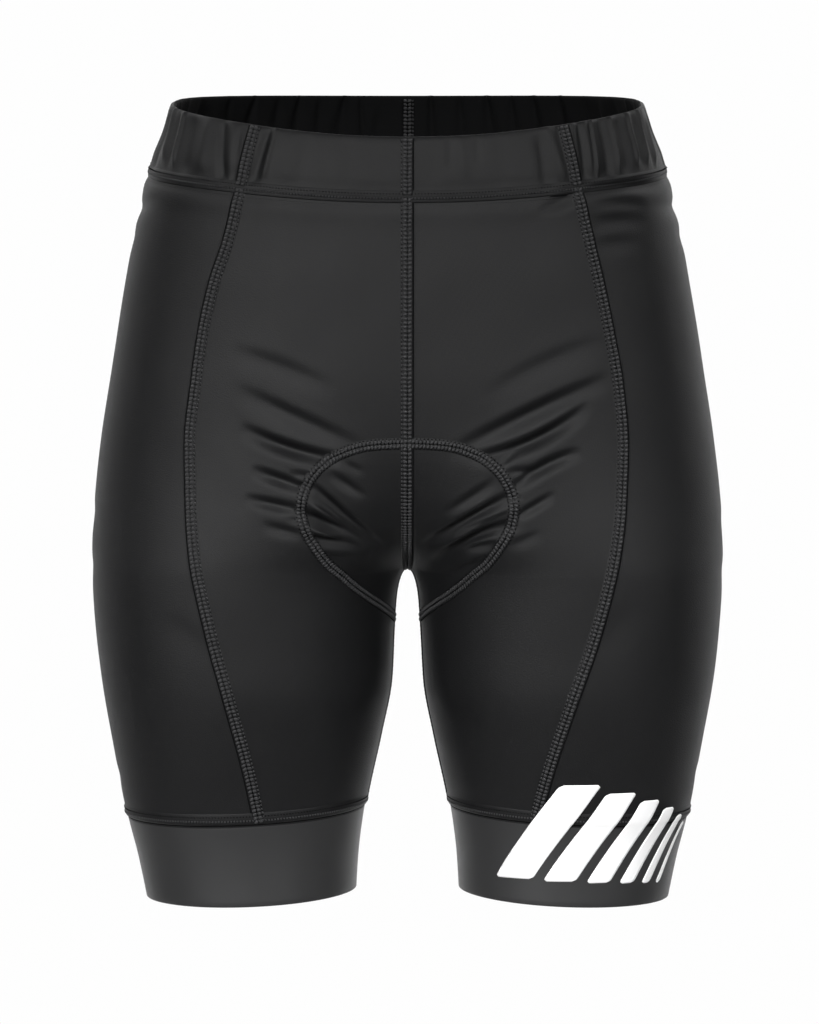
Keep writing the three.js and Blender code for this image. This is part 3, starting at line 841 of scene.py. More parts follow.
@dataclass
class Shape:
    """Points and faces of a piece before it is a mesh.

    Attributes:
        points: Points x 3, in millimetres.
        loops: The point at each corner of each face, one face after another.
        starts: The first corner of each face.
        uv: A place in the cloth for each corner, in millimetres.
        kinds: Which of the piece's finishes each face has.
    """

    points: Array
    loops: Array
    starts: Array
    uv: Array
    kinds: Array

    @classmethod
    def grid(cls, points: Array, outward: Array, uv: Array, around: bool = False,
             along: bool = False) -> "Shape":
        """Four-sided faces over rows and columns of points.

        Args:
            points: Rows x columns x 3.
            outward: The way that each point faces, which settles which way round the faces go.
            uv: Rows x columns x 2, with a row or column more where the grid closes on itself.
            around: Whether the last column joins the first.
            along: Whether the last row joins the first.

        Returns:
            The shape.
        """
        rows, columns = points.shape[:2]
        index = np.arange(rows * columns).reshape(rows, columns)
        index = np.concatenate([index, index[:, :1]], axis=1) if around else index
        index = np.concatenate([index, index[:1]], axis=0) if along else index
        corners = [(slice(None, -1), slice(None, -1)), (slice(1, None), slice(None, -1))]
        corners += [(slice(1, None), slice(1, None)), (slice(None, -1), slice(1, None))]
        quads = np.stack([index[c] for c in corners], axis=-1).reshape(-1, 4)
        places = np.stack([uv[c] for c in corners], axis=-2).reshape(-1, 4, 2)
        flat = points.reshape(-1, 3)
        a, b, d = flat[quads[:, 0]], flat[quads[:, 1]], flat[quads[:, 3]]
        facing = (np.cross(b - a, d - a) * outward.reshape(-1, 3)[quads[:, 0]]).sum()
        if facing < 0:
            quads, places = quads[:, ::-1], places[:, ::-1]
        count = len(quads)
        return cls(flat, quads.ravel(), np.arange(count) * 4, places.reshape(-1, 2), np.zeros(count, int))

    def capped(self, rows: int, columns: int) -> "Shape":
        """Closes both ends of a flattened tube, whose second half of columns runs back under the first.

        Args:
            rows: Rows of the tube.
            columns: Points round it.

        Returns:
            The shape with a strip of quads across each end.
        """
        near = np.arange(columns // 2 - 1)
        strip = np.stack([near, near + 1, columns - 2 - near, columns - 1 - near], axis=-1)
        ends = []
        for row, beside in ((0, 1), (rows - 1, rows - 2)):
            quads = strip + row * columns
            a, b, d = (self.points[quads[:, k]] for k in (0, 1, 3))
            way = self.points[quads[:, 0]] - self.points[strip[:, 0] + beside * columns]
            ends.append(quads[:, ::-1] if (np.cross(b - a, d - a) * way).sum() < 0 else quads)
        loops = np.concatenate([self.loops, *[quads.ravel() for quads in ends]])
        extra = np.zeros((len(loops) - len(self.loops), 2))
        count = len(loops) // 4
        uv = np.concatenate([self.uv, extra])
        return Shape(self.points, loops, np.arange(count) * 4, uv, np.zeros(count, int))

    @classmethod
    def joined(cls, shapes: list["Shape"]) -> "Shape":
        """Several shapes as one."""
        shifts = np.cumsum([0] + [len(shape.points) for shape in shapes])
        turns = np.cumsum([0] + [len(shape.loops) for shape in shapes])
        return cls(
            np.concatenate([shape.points for shape in shapes]),
            np.concatenate([shape.loops + shift for shape, shift in zip(shapes, shifts)]),
            np.concatenate([shape.starts + turn for shape, turn in zip(shapes, turns)]),
            np.concatenate([shape.uv for shape in shapes]),
            np.concatenate([shape.kinds for shape in shapes]),
        )

    @classmethod
    def grain(cls, size: Triple, sides: int, rings: tuple[float, ...],
              kind: int = 0) -> "Shape":
        """One short length of thread, along x: rings of an ellipse between two tips, lying on z = 0.

        Args:
            size: Whole length, width and height.
            sides: Points on each ring.
            rings: Where the rings lie, from -1 to 1 of the half length; their size follows a circle.
            kind: Which of its piece's finishes it has.

        Returns:
            The shape, closed.
        """
        taper, raised, tip_drop = 0.8, 0.6, 0.15
        length, width, height = size
        angle = np.linspace(0, 2 * math.pi, sides, endpoint=False) + math.pi / sides
        at = np.array(rings)[:, None]
        fat = np.sqrt(1 - taper * at * at)
        ring = np.stack(np.broadcast_arrays(
            at * length / 2,
            np.cos(angle) * fat * width / 2,
            (np.sin(angle) * fat + raised * fat) * height / 2,
        ), axis=-1)
        tips = np.array([[end * length / 2, 0, -height * tip_drop] for end in (-1, 1)])
        points = np.concatenate([ring.reshape(-1, 3), tips])
        first, last = len(points) - 2, len(points) - 1
        turn = [(k, (k + 1) % sides) for k in range(sides)]
        end = (len(rings) - 1) * sides
        faces = [(first, b, a) for a, b in turn]
        faces += [(r * sides + a, r * sides + b, (r + 1) * sides + b, (r + 1) * sides + a)
                  for r in range(len(rings) - 1) for a, b in turn]
        faces += [(last, end + a, end + b) for a, b in turn]
        starts = np.cumsum([0] + [len(face) for face in faces])[:-1]
        loops = np.concatenate([np.array(face) for face in faces])
        return cls(points, loops, starts, points[loops][:, :2], np.full(len(starts), kind))

    def copies(self, places: Array, axes: Array, scale: Array) -> "Shape":
        """This shape set down many times.

        Args:
            places: Count x 3 origins.
            axes: Count x 3 x 3, the directions of the shape's own x, y and z.
            scale: Size of each copy.

        Returns:
            All copies as one shape.
        """
        count = len(places)
        points = places[:, None] + np.einsum("pk,nkc->npc", self.points, axes) * scale[:, None, None]
        shift = np.arange(count)[:, None]
        return Shape(
            points.reshape(-1, 3),
            (self.loops[None, :] + shift * len(self.points)).ravel(),
            (self.starts[None, :] + shift * len(self.loops)).ravel(),
            np.tile(self.uv, (count, 1)),
            np.tile(self.kinds, count),
        )

    def mesh(self, name: str) -> bpy.types.Mesh:
        """The shape as a smooth mesh in metres, with its place in the cloth as a UV map."""
        mesh = bpy.data.meshes.new(name)
        mesh.vertices.add(len(self.points))
        mesh.vertices.foreach_set("co", (self.points * METRES).astype(np.float32).ravel())
        mesh.loops.add(len(self.loops))
        mesh.loops.foreach_set("vertex_index", self.loops.astype(np.int32))
        mesh.polygons.add(len(self.starts))
        mesh.polygons.foreach_set("loop_start", self.starts.astype(np.int32))
        mesh.polygons.foreach_set("use_smooth", np.ones(len(self.starts), bool))
        layer = mesh.uv_layers.new(name="cloth")
        layer.data.foreach_set("uv", self.uv.astype(np.float32).ravel())
        mesh.update(calc_edges=True)
        return mesh

    def piece(self, name: str, slot: str, *finishes: Material,
              thickness: float = 0.0) -> Piece:
        """Makes the shape an object of the scene.

        Args:
            name: The piece's name.
            slot: The record's material slot of its finish; not used.
            finishes: Its finish, or several that its faces' kinds count from 0.
            thickness: Wall to give an open shape, inwards, or 0 for a closed one.

        Returns:
            The object, riding on the garment's only body.
        """
        mesh = self.mesh(name)
        for finish in finishes:
            mesh.materials.append(finish)
        mesh.polygons.foreach_set("material_index", self.kinds.astype(np.int32))
        obj = bpy.data.objects.new(name, mesh)
        bpy.context.scene.collection.objects.link(obj)
        if thickness:
            wall = obj.modifiers.new("wall", "SOLIDIFY")
            wall.thickness = thickness * METRES
            wall.offset = -1
        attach(obj, BODY)
        LOG.info("%s: %d faces", name, len(self.starts))
        return obj


class Nodes:
    """Adds shader nodes to one material, each wired to what feeds it."""

    def __init__(self, name: str) -> None:
        """Starts a material with its shader."""
        self.material = bpy.data.materials.new(name)
        self.material.use_nodes = True
        self.tree = self.material.node_tree
        self.shader = self.tree.nodes["Principled BSDF"]

    def add(self, kind: str, inputs: dict, **settings: object) -> bpy.types.Node:
        """Adds a node.

        Args:
            kind: Blender's name of the node type.
            inputs: What goes into each named or numbered socket: a value, or another node's output.
            settings: The node's own properties.

        Returns:
            The node.
        """
        node = self.tree.nodes.new(kind)
        for key, value in settings.items():
            setattr(node, key, value)
        for key, value in inputs.items():
            if isinstance(value, Socket):
                self.tree.links.new(value, node.inputs[key])
            else:
                node.inputs[key].default_value = value
        return node

    def math(self, operation: str, a: object, b: object = 0.0) -> Socket:
        """One arithmetic step."""
        return self.add("ShaderNodeMath", {0: a, 1: b}, operation=operation).outputs[0]

    def wave(self, along: object, pitch: float, phase: object = 0.0) -> Socket:
        """A cosine of the given pitch, from 0 to 1."""
        turn = self.math("ADD", self.math("MULTIPLY", along, 2 * math.pi / pitch), phase)
        return self.math("MULTIPLY", self.math("ADD", self.math("COSINE", turn), 1.0), 0.5)

    def cloth_place(self) -> tuple[Socket, Socket, Socket]:
        """Across and along the cloth in millimetres, and both as a vector."""
        place = self.add("ShaderNodeUVMap", {}, uv_map="cloth").outputs[0]
        parts = self.add("ShaderNodeSeparateXYZ", {0: place})
        return parts.outputs[0], parts.outputs[1], place

    def noise(self, place: object, size: float, detail: float = 2.0) -> Socket:
        """Smooth noise from 0 to 1 with blotches of about the given size in the place's own unit."""
        inputs = {"Vector": place, "Scale": 1 / size, "Detail": detail}
        return self.add("ShaderNodeTexNoise", inputs).outputs[0]

    def ramp(self, factor: object, dark: tuple, light: tuple) -> Socket:
        """A colour between two by a factor."""
        node = self.add("ShaderNodeMix", {0: factor}, data_type="RGBA")
        node.inputs[6].default_value = (*dark, 1)
        node.inputs[7].default_value = (*light, 1)
        return node.outputs[2]

    def span(self, factor: object, low: float, high: float) -> Socket:
        """A factor from 0 to 1 turned into a number from low to high."""
        return self.add("ShaderNodeMapRange", {0: factor, 3: low, 4: high}).outputs[0]

    def bump(self, height: object, millimetres: float, under: object = None) -> Socket:
        """A bump of a height from 0 to 1, in millimetres, over another bump or none."""
        inputs = {"Height": height, "Distance": millimetres * METRES, "Strength": 1.0}
        if under is not None:
            inputs["Normal"] = under
        return self.add("ShaderNodeBump", inputs).outputs[0]

    def finish(self, sockets: dict) -> Material:
        """Feeds the shader and gives the material.

        Args:
            sockets: What goes into each named socket: a value, set on the socket itself, or a node's output.

        Returns:
            The material.
        """
        for key, value in sockets.items():
            if isinstance(value, Socket):
                self.tree.links.new(value, self.shader.inputs[key])
            else:
                self.shader.inputs[key].default_value = value
        return self.material


@dataclass(frozen=True)
class KnitFinish:
    """Fine stretch knit: wales of small loops with a soft sheen.

    Attributes:
        name: The material's name.
        dark, light: Colours between which the cloth wanders.
        wale, course: Width and height of a loop, in millimetres.
        relief: Height of a loop.
        grain_size, grain: Size and height of the knit's own unevenness.
        roughness: Lowest and highest.
        specular: Strength of the plain reflection.
        sheen, sheen_roughness, sheen_tint: The glow at grazing angles.
    """

    name: str
    dark: Triple
    light: Triple
    wale: float = 0.62
    course: float = 0.48
    relief: float = 0.05
    grain_size: float = 0.9
    grain: float = 0.13
    roughness: tuple[float, float] = (0.56, 0.64)
    specular: float = 0.34
    sheen: float = 0.008
    sheen_roughness: float = 0.35
    sheen_tint: Triple = (0.8, 0.82, 0.88)

    def material(self) -> Material:
        """The finish as a material, its pattern laid along the cloth's own UV map."""
        nodes = Nodes(self.name)
        across, along, place = nodes.cloth_place()
        column = nodes.wave(across, self.wale)
        loops = nodes.wave(along, self.course, nodes.math("MULTIPLY", column, 2.4))
        knit = nodes.math("MULTIPLY", column, nodes.span(loops, 0.55, 1.0))
        grain = nodes.noise(place, self.grain_size, 3)
        patches = nodes.noise(place, 24, 2)
        tone = nodes.math("ADD", nodes.math("MULTIPLY", grain, 0.55), nodes.math("MULTIPLY", patches, 0.45))
        bumps = nodes.bump(grain, self.grain, nodes.bump(knit, self.relief))
        return nodes.finish({
            "Base Color": nodes.ramp(nodes.span(tone, -0.3, 1.3), self.dark, self.light),
            "Roughness": nodes.span(patches, *self.roughness),
            "Specular IOR Level": self.specular,
            "Sheen Weight": self.sheen,
            "Sheen Roughness": self.sheen_roughness,
            "Sheen Tint": (*self.sheen_tint, 1),
            "Normal": bumps,
        })


@dataclass(frozen=True)
class ThreadFinish:
    """Textured thread: fine twisted strands, a little glossier than the cloth.

    Attributes:
        name: The material's name.
        dark, light: Colours between which it wanders.
        strand: Pitch of the twist, in millimetres.
        relief: Height of a strand.
        roughness, specular, sheen: How it shines.
    """

    name: str
    dark: Triple
    light: Triple
    strand: float = 0.3
    relief: float = 0.05
    roughness: float = 0.56
    specular: float = 0.42
    sheen: float = 0.05

    def material(self) -> Material:
        """The finish as a material, its twist laid along each stitch's own UV map."""
        nodes = Nodes(self.name)
        across, along, _ = nodes.cloth_place()
        twist = nodes.wave(nodes.math("ADD", across, nodes.math("MULTIPLY", along, 0.7)), self.strand)
        spot = nodes.add("ShaderNodeTexCoord", {}).outputs["Object"]
        wander = nodes.noise(spot, 1.4 * METRES, 2)
        return nodes.finish({
            "Base Color": nodes.ramp(nodes.span(wander, -0.4, 1.4), self.dark, self.light),
            "Roughness": self.roughness,
            "Specular IOR Level": self.specular,
            "Sheen Weight": self.sheen,
            "Sheen Roughness": 0.4,
            "Normal": nodes.bump(twist, self.relief),
        })


@dataclass(frozen=True)
class PadFinish:
    """Brushed cloth over moulded foam."""

    name: str
    dark: Triple
    light: Triple

    def material(self) -> Material:
        """The finish as a material: short nap as fine noise, on Object coordinates."""
        nodes = Nodes(self.name)
        place = nodes.add("ShaderNodeTexCoord", {}).outputs["Object"]
        nap = nodes.noise(place, 0.8 * METRES, 4)
        patches = nodes.span(nodes.noise(place, 12 * METRES, 2), 0.7, 1.3)
        return nodes.finish({
            "Base Color": nodes.ramp(nodes.math("MULTIPLY", nap, patches), self.dark, self.light),
            "Roughness": 0.85,
            "Specular IOR Level": 0.2,
            "Sheen Weight": 0.5,
            "Sheen Roughness": 0.5,
            "Normal": nodes.bump(nap, 0.25),
        })


@dataclass(frozen=True)
class FilmFinish:
    """White film pressed onto the cloth: matt, with the knit just showing through."""

    name: str
    dark: Triple
    light: Triple

    def material(self) -> Material:
        """The finish as a material on the film's own UV map."""
        nodes = Nodes(self.name)
        across, _, place = nodes.cloth_place()
        grain = nodes.noise(place, 0.7, 3)
        column = nodes.wave(across, 0.62)
        return nodes.finish({
            "Base Color": nodes.ramp(grain, self.dark, self.light),
            "Roughness": nodes.span(nodes.noise(place, 8, 2), 0.42, 0.58),
            "Specular IOR Level": 0.45,
            "Normal": nodes.bump(grain, 0.03, nodes.bump(column, 0.02)),
        })


@dataclass(frozen=True)
class Finishes:
    """Every finish of the shorts, made once."""

    body: Material
    band: Material
    lining: Material
    # Painted shadow: a dull, near-black knit laid on the seams' groove floors and needle-hole dots in place
    # of their shadow
    shade: Material
    grip: Material
    pad: Material
    thread: Material
    film: Material

    @classmethod
    def make(cls) -> "Finishes":
        """Makes the materials."""
        return cls(
            KnitFinish("body_knit", (0.0018, 0.0019, 0.0023), (0.0040, 0.0041, 0.0046)).material(),
            KnitFinish("band_knit", (0.0016, 0.0017, 0.0020), (0.0034, 0.0035, 0.0039)).material(),
            KnitFinish("lining_knit", (0.0024, 0.0025, 0.0027), (0.0042, 0.0043, 0.0046),
                       roughness=(0.8, 0.9), specular=0.10, sheen=0.0).material(),
            # Painted shadow: almost no reflection, so the groove floors and hole dots it covers read as
            # shadow
            KnitFinish("painted_shade_knit", (0.0030, 0.0030, 0.0032), (0.0050, 0.0050, 0.0053),
                       roughness=(0.9, 0.95), specular=0.06, sheen=0.0).material(),
            KnitFinish("grip_knit", (0.009, 0.0091, 0.0097), (0.013, 0.0131, 0.0139), wale=0.45, course=0.4,
                       relief=0.02, grain=0.03, roughness=(0.50, 0.56), specular=0.82, sheen=0.02).material(),
            PadFinish("pad_nap", (0.035, 0.038, 0.045), (0.085, 0.09, 0.10)).material(),
            ThreadFinish("seam_thread", (0.021, 0.0212, 0.0223), (0.038, 0.0383, 0.0402)).material(),
            FilmFinish("white_film", (0.90, 0.90, 0.90), (0.96, 0.96, 0.96)).material(),
        )


class Element(Enum):
    """What a row of sewing is made of, each with its length, width and height, its height off the ridge, the
    points on each of its rings, and where those rings lie."""

    BAR = (2.4, 1.8, 0.8, -0.05, 5, (-0.66, 0.0, 0.66))
    STITCH = (1.45, 1.35, 0.65, 0.08, 4, (-0.5, 0.5))
    # Needle holes as small raised dark grains in the finish of painted shadow, not real holes
    HOLE = (1.0, 1.15, 0.32, 0.1, 4, (0.0,))

    def shape(self) -> "Shape":
        """One of it. The holes' kind is 1, the dark finish of painted shadow: dots standing in for the needle
        holes' shadow.
        """
        *size, _, sides, rings = self.value
        return Shape.grain(tuple(size), sides, rings, kind=int(self is Element.HOLE))

    @property
    def up(self) -> float:
        """How far off the ridge its foot lies."""
        return self.value[3]


class Row(NamedTuple):
    """One row of sewing along a seam: how far off its middle, how far round each is turned, and its pitch."""

    element: Element
    off: float
    lean: float
    pitch: float
    shift: float = 0.0


ALONG = math.pi / 2


class SeamKind(Enum):
    """The kinds of seam: two columns of bars that lean to and fro or one way, or two rows of stitches."""

    HERRINGBONE = (
        Row(Element.BAR, -1.24, 0.3, 2.25),
        Row(Element.BAR, 1.24, -0.3, 2.25),
        Row(Element.HOLE, 0, ALONG, 2.25, 0.5),
        Row(Element.STITCH, -3.05, ALONG, 2.25),
        Row(Element.HOLE, -3.05, ALONG, 2.25, 0.5),
    )
    PARALLEL = (
        Row(Element.BAR, -1.26, 0.5, 2.0),
        Row(Element.BAR, 1.26, 0.5, 2.0),
        Row(Element.HOLE, 0, ALONG, 2.0, 0.5),
        Row(Element.HOLE, -2.75, ALONG, 2.0),
        Row(Element.HOLE, 2.75, ALONG, 2.0),
    )
    TWIN = (
        Row(Element.HOLE, -1.8, ALONG, 1.7),
        Row(Element.STITCH, 0.6, ALONG, 1.7),
        Row(Element.HOLE, 0.6, ALONG, 1.7, 0.5),
    )


# Heights across each kind of seam by distance off its middle, the groove's side positive, and the finish from
# there to the next row: 1 is the groove's floor, given the dark finish of painted shadow
PROFILE_COLUMNS = "off height kind"
SEAM_PROFILES = {
    SeamKind.HERRINGBONE: table(PROFILE_COLUMNS, [
        (-4.4, -0.3, 0), (-3.9, 0.05, 0), (-3.05, 0.12, 0), (-2.6, 0.36, 0), (-1.25, 0.66, 0), (-0.4, 0.5, 0),
        (0, 0.14, 0), (0.4, 0.5, 0), (1.25, 0.72, 0), (2.4, 0.66, 0), (2.75, 0.35, 1), (2.95, 0.03, 1),
        (3.45, 0.03, 1), (3.6, 0.06, 0), (4.3, 0.05, 0), (5.0, -0.3, 0),
    ]),
    SeamKind.PARALLEL: table(PROFILE_COLUMNS, [
        (-3.8, -0.3, 0), (-3.2, 0.04, 0), (-2.6, 0.34, 0), (-1.25, 0.64, 0), (-0.4, 0.46, 0), (0, 0.12, 0),
        (0.4, 0.46, 0), (1.25, 0.64, 0), (2.6, 0.34, 0), (3.2, 0.04, 0), (3.8, -0.3, 0),
    ]),
    SeamKind.TWIN: table(PROFILE_COLUMNS, [
        (-4.2, -0.3, 0), (-3.5, 0.06, 0), (-2.7, 0.26, 0), (-1.8, 0.36, 0), (-0.6, 0.46, 0), (0.6, 0.5, 0),
        (1.9, 0.58, 0), (2.6, 0.52, 0), (2.9, 0.3, 1), (3.05, 0.03, 1), (3.6, 0.03, 1), (3.75, 0.05, 0),
        (4.5, 0.04, 0), (5.2, -0.3, 0),
    ]),
}


@dataclass(frozen=True)
class Seam:
    """A flat seam: a low ridge with rows of sewing on it, and a groove along one side.

    Attributes:
        name: What the pieces' names begin with.
        garment: What it is sewn on.
        path: Points of the bare figure that it runs along.
        kind: Its rows and its profile.
        groove: The side of the deep groove, 1 or -1.
        inside: Whether it shows on the inner face.
        closed: Whether its path ends where it begins.
        sunk: How deep the threads are drawn into the ridge.
        step: Distance between the ridge's rows.
        reach: Distance over which the path's direction is taken.
        ridge_wall: Thickness of the ridge.
    """

    name: str
    garment: Garment
    path: Array
    kind: SeamKind = SeamKind.HERRINGBONE
    groove: float = 1.0
    inside: bool = False
    closed: bool = False
    sunk: float = 0.0
    step: float = 2.3
    reach: float = 1.5
    ridge_wall: float = 0.3

    @cached_property
    def line(self) -> tuple[Array, Array]:
        """The path's points again, about half a millimetre apart, and their distances along it."""
        runs = path_runs(self.path)
        at = np.linspace(0, runs[-1], int(runs[-1] * 2) + 2)
        points = resample(self.path[None], runs[None], at[None])[0]
        return self.garment.figure.onto(points), at

    def frame_at(self, at: Array) -> tuple[Array, Array]:
        """Points of the path at distances along it, and the way across it there, towards the groove."""
        points, runs = self.line
        ends = at - self.reach, at + self.reach
        if self.closed:
            at, *ends = (place % runs[-1] for place in (at, *ends))
        here, before, after = (resample(points[None], runs[None], a[None])[0] for a in (at, *ends))
        normal = unit(self.garment.figure.gradient(here))
        return here, unit(np.cross(normal, unit(after - before))) * self.groove

    def ridge_shape(self) -> Shape:
        """The ridge: a height profile carried along the path, as a grid."""
        length = self.line[1][-1]
        count = max(3, int(length / self.step) + 1)
        at = np.linspace(0, length, count)[:-1] if self.closed else np.linspace(0, length, count)
        profile = SEAM_PROFILES[self.kind]
        here, across = self.frame_at(at)
        bare = self.garment.figure.onto(here[:, None] + across[:, None] * profile["off"][None, :, None])
        points, normals = self.garment.lift(bare, profile["height"][None, :], self.inside)
        ends = np.append(at, length) if self.closed else at
        uv = np.stack(np.meshgrid(ends, profile["off"], indexing="ij")[::-1], axis=-1)
        shape = Shape.grid(points, normals, uv, along=self.closed)
        # The groove's floor takes kind 1, the dark finish of painted shadow in the groove
        kinds = np.resize(profile["kind"][:-1].astype(int), len(shape.starts))
        return replace(shape, kinds=kinds)

    def row_shape(self, row: Row) -> Shape:
        """Sets one row's element down at even places along the seam."""
        nudge = 0.3
        length = self.line[1][-1]
        count = max(2, round(length / row.pitch))
        at = (np.arange(count) + 0.5 + row.shift) * length / count
        at = at if self.closed else at[at < length]
        here, across = self.frame_at(at)
        bare = self.garment.figure.onto(here + across * row.off)
        forth = unit(np.cross(across, unit(self.garment.figure.gradient(bare))))
        spots = np.stack([bare, bare + across * nudge, bare + forth * nudge])
        profile = SEAM_PROFILES[self.kind]
        ridge = float(np.interp(row.off, profile["off"], profile["height"]))
        height = ridge + row.element.up - self.sunk
        placed, facing = self.garment.lift(self.garment.figure.onto(spots), height, self.inside)
        side, ahead = unit(placed[1] - placed[0]), unit(placed[2] - placed[0])
        up = unit(np.cross(side, ahead))
        up = up * np.sign((up * facing[0]).sum(-1, keepdims=True))
        lean_stray, size_stray = 0.08, 0.05
        lean = (row.lean + lean_stray * np.sin(5.1 * at))[:, None]
        long = unit(side * np.cos(lean) + ahead * np.sin(lean))
        wobble = 1 + size_stray * np.sin(7.3 * at + 5 * row.off)
        return row.element.shape().copies(placed[0], np.stack([long, np.cross(up, long), up], axis=1), wobble)

    def make(self, finishes: Finishes) -> list[Piece]:
        """Makes the ridge and its threads as two pieces."""
        slot, cloth = ("band_cloth", finishes.band) if "band" in self.name else ("body_cloth", finishes.body)
        cloth = finishes.lining if self.inside else cloth
        # Each piece's second finish is painted shadow: on the ridge the groove's floor, on the threads the
        # needle-hole dots
        ridge = self.ridge_shape().piece(
            f"{self.name}_ridge", slot, cloth, finishes.shade, thickness=self.ridge_wall)
        rows = Shape.joined([self.row_shape(row) for row in self.kind.value])
        return [ridge, rows.piece(f"{self.name}_thread", "thread", finishes.thread, finishes.shade)]


class Side(Enum):
    """The wearer's side: the sign of its x."""

    LEFT = 1
    RIGHT = -1

    @property
    def word(self) -> str:
        """The side's name as nodes have it."""
        return self.name.lower()


@dataclass(frozen=True)
class Panel:
    """One of a side's three body panels.

    Attributes:
        word: What its node's name begins with.
        first: Its first seam, counted from the middle of the front.
        columns: Faces across it.
        rows: Faces down it: pairs of a row number, 0 at the waistband, 1 at the fork and 2 at the grip band,
            and the faces from the pair before.
        flat: Width and length of its flat cut, in millimetres; not used.
        area: The share of that rectangle that the cut fills; not used.
    """

    word: str
    first: int
    columns: int
    rows: tuple[tuple[float, int], ...]
    flat: tuple[float, float]
    area: float

    def levels(self) -> Array:
        """The row numbers."""
        found = [np.zeros(1)]
        for end, count in self.rows:
            found.append(np.linspace(found[-1][-1], end, count + 1)[1:])
        return np.concatenate(found)


PANELS = [
    Panel("front", 0, 98, ((0.34, 36), (1.0, 122), (2.0, 54)), (128, 376), 0.86),
    Panel("side", 1, 94, ((1.0, 104), (2.0, 58)), (252, 372), 0.90),
    Panel("back", 2, 56, ((1.0, 118), (2.0, 60)), (132, 402), 0.86),
]


@dataclass(frozen=True)
class BodyPanels:
    """The six body panels, whose rows run from the waistband past the fork to the grip seam.

    Attributes:
        garment: The face that they lie on.
        gap: Space between two panels at a seam.
        seam_rows: Points of each seam's path down the rise, and as many down the leg.
    """

    garment: Garment
    gap: float = 0.3
    seam_rows: int = 140

    def rise_falls(self, towards: int, rows: Array) -> Array:
        """Share of the rise's height that each row has fallen, so that rows are even along the rise."""
        figure = self.garment.figure
        start = figure.band_line(np.array([0.0 if towards < 0 else 1.0]))[0]
        fall = 1 - (1 - np.linspace(0, 1, 400)) ** 2
        z = mix(start, figure.fork, fall)
        depth = figure.rise_depth(z, towards) * towards
        runs = path_runs(np.stack([np.zeros_like(z), depth, z], axis=-1))
        return np.interp(np.minimum(rows, 1) * runs[-1], runs, fall)

    def lines(self, levels: Array) -> HalfLines:
        """The row lines of some row numbers, bunched at their ends on the rise to follow it."""
        figure = self.garment.figure
        row = levels[:, None]
        front, back = (self.rise_falls(towards, row) for towards in (-1, 1))
        inset = np.zeros_like(row)
        inset[0], inset[-1] = -self.gap / 2, self.gap / 2

        def heights(turn: Array) -> Array:
            """Height of every row at every turn."""
            pull = (1 - smooth_step(0, 0.4, turn)) * (front - row) + smooth_step(0.6, 1, turn) * (back - row)
            rise = mix(figure.band_line(turn), figure.fork, np.minimum(row + pull, 1))
            leg = mix(figure.fork, figure.grip_line(turn), row - 1)
            return np.where(row > 1, leg, rise) + inset

        return HalfLines.at_heights(figure, heights)

    def seam_runs(self, lines: HalfLines, side: Side) -> list[Array]:
        """Where a side's four seams cross rows: middle front, front seam, back seam, middle back."""
        front = lines.crossing(TableCurve.through(FRONT_SEAMS, "z", side.word), False)
        back = lines.crossing(TableCurve.through(BACK_SEAMS, "z", side.word), True)
        return [np.zeros_like(front), front, back, lines.lengths]

    @cached_property
    def seam_lines(self) -> HalfLines:
        """The row lines through which the seams' paths are drawn."""
        return self.lines(np.linspace(0, 2, 2 * self.seam_rows + 1))

    def seam_path(self, side: Side, seam: int) -> Array:
        """The path of one of a side's seams, from the waistband to the grip band."""
        lines = self.seam_lines
        wanted = self.seam_runs(lines, side)[seam][:, None]
        return lines.at(wanted)[:, 0] * np.array([side.value, 1, 1])

    def make(self, finishes: Finishes) -> dict[str, Piece]:
        """Makes the panels, each a grid between two seams."""
        made = {}
        for panel in PANELS:
            lines = self.lines(panel.levels())
            for side in Side:
                first, last = self.seam_runs(lines, side)[panel.first:panel.first + 2]
                share = np.linspace(0, 1, panel.columns + 1)[None, :]
                first, last = first[:, None] + self.gap / 2, last[:, None] - self.gap / 2
                bare = lines.at(mix(first, last, share)) * np.array([side.value, 1, 1])
                points, normals = self.garment.lift(bare)
                down = path_runs(points[:, panel.columns // 2])[:, None]
                uv = np.stack(np.broadcast_arrays((share - 0.5) * (last - first), -down), axis=-1)
                name = f"{panel.word}_{side.word}"
                piece = Shape.grid(points, normals, uv).piece(
                    f"{name}_cloth", "body_cloth", finishes.body, thickness=self.garment.cloth_wall)
                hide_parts(name)
                made[name] = piece
        return made


def tube_section(wall: float, height: float, out: int, rim: int, back: int) -> tuple[Array, Array]:
    """A band's section: along its outer face, over its free edge in a half circle, and back inside.

    At the edge the share of the height is 1 - r(1 - sin a), and the depth r(1 - cos a).

    Args:
        wall, height: The band's thickness and height.
        out, rim, back: Faces along each stretch.

    Returns:
        Share of the height and depth below the outer face, as columns.
    """
    radius = wall / 2 / height
    angle = np.linspace(0, math.pi, rim + 1)
    outer = np.linspace(0, 1 - radius, out + 1)[:-1]
    inner = np.linspace(1 - radius, 0, back + 1)[1:]
    share = np.concatenate([outer, 1 - radius * (1 - np.sin(angle)), inner])
    depth = np.concatenate([np.zeros_like(outer), wall / 2 * (1 - np.cos(angle)), np.full_like(inner, wall)])
    return share[:, None], depth[:, None]


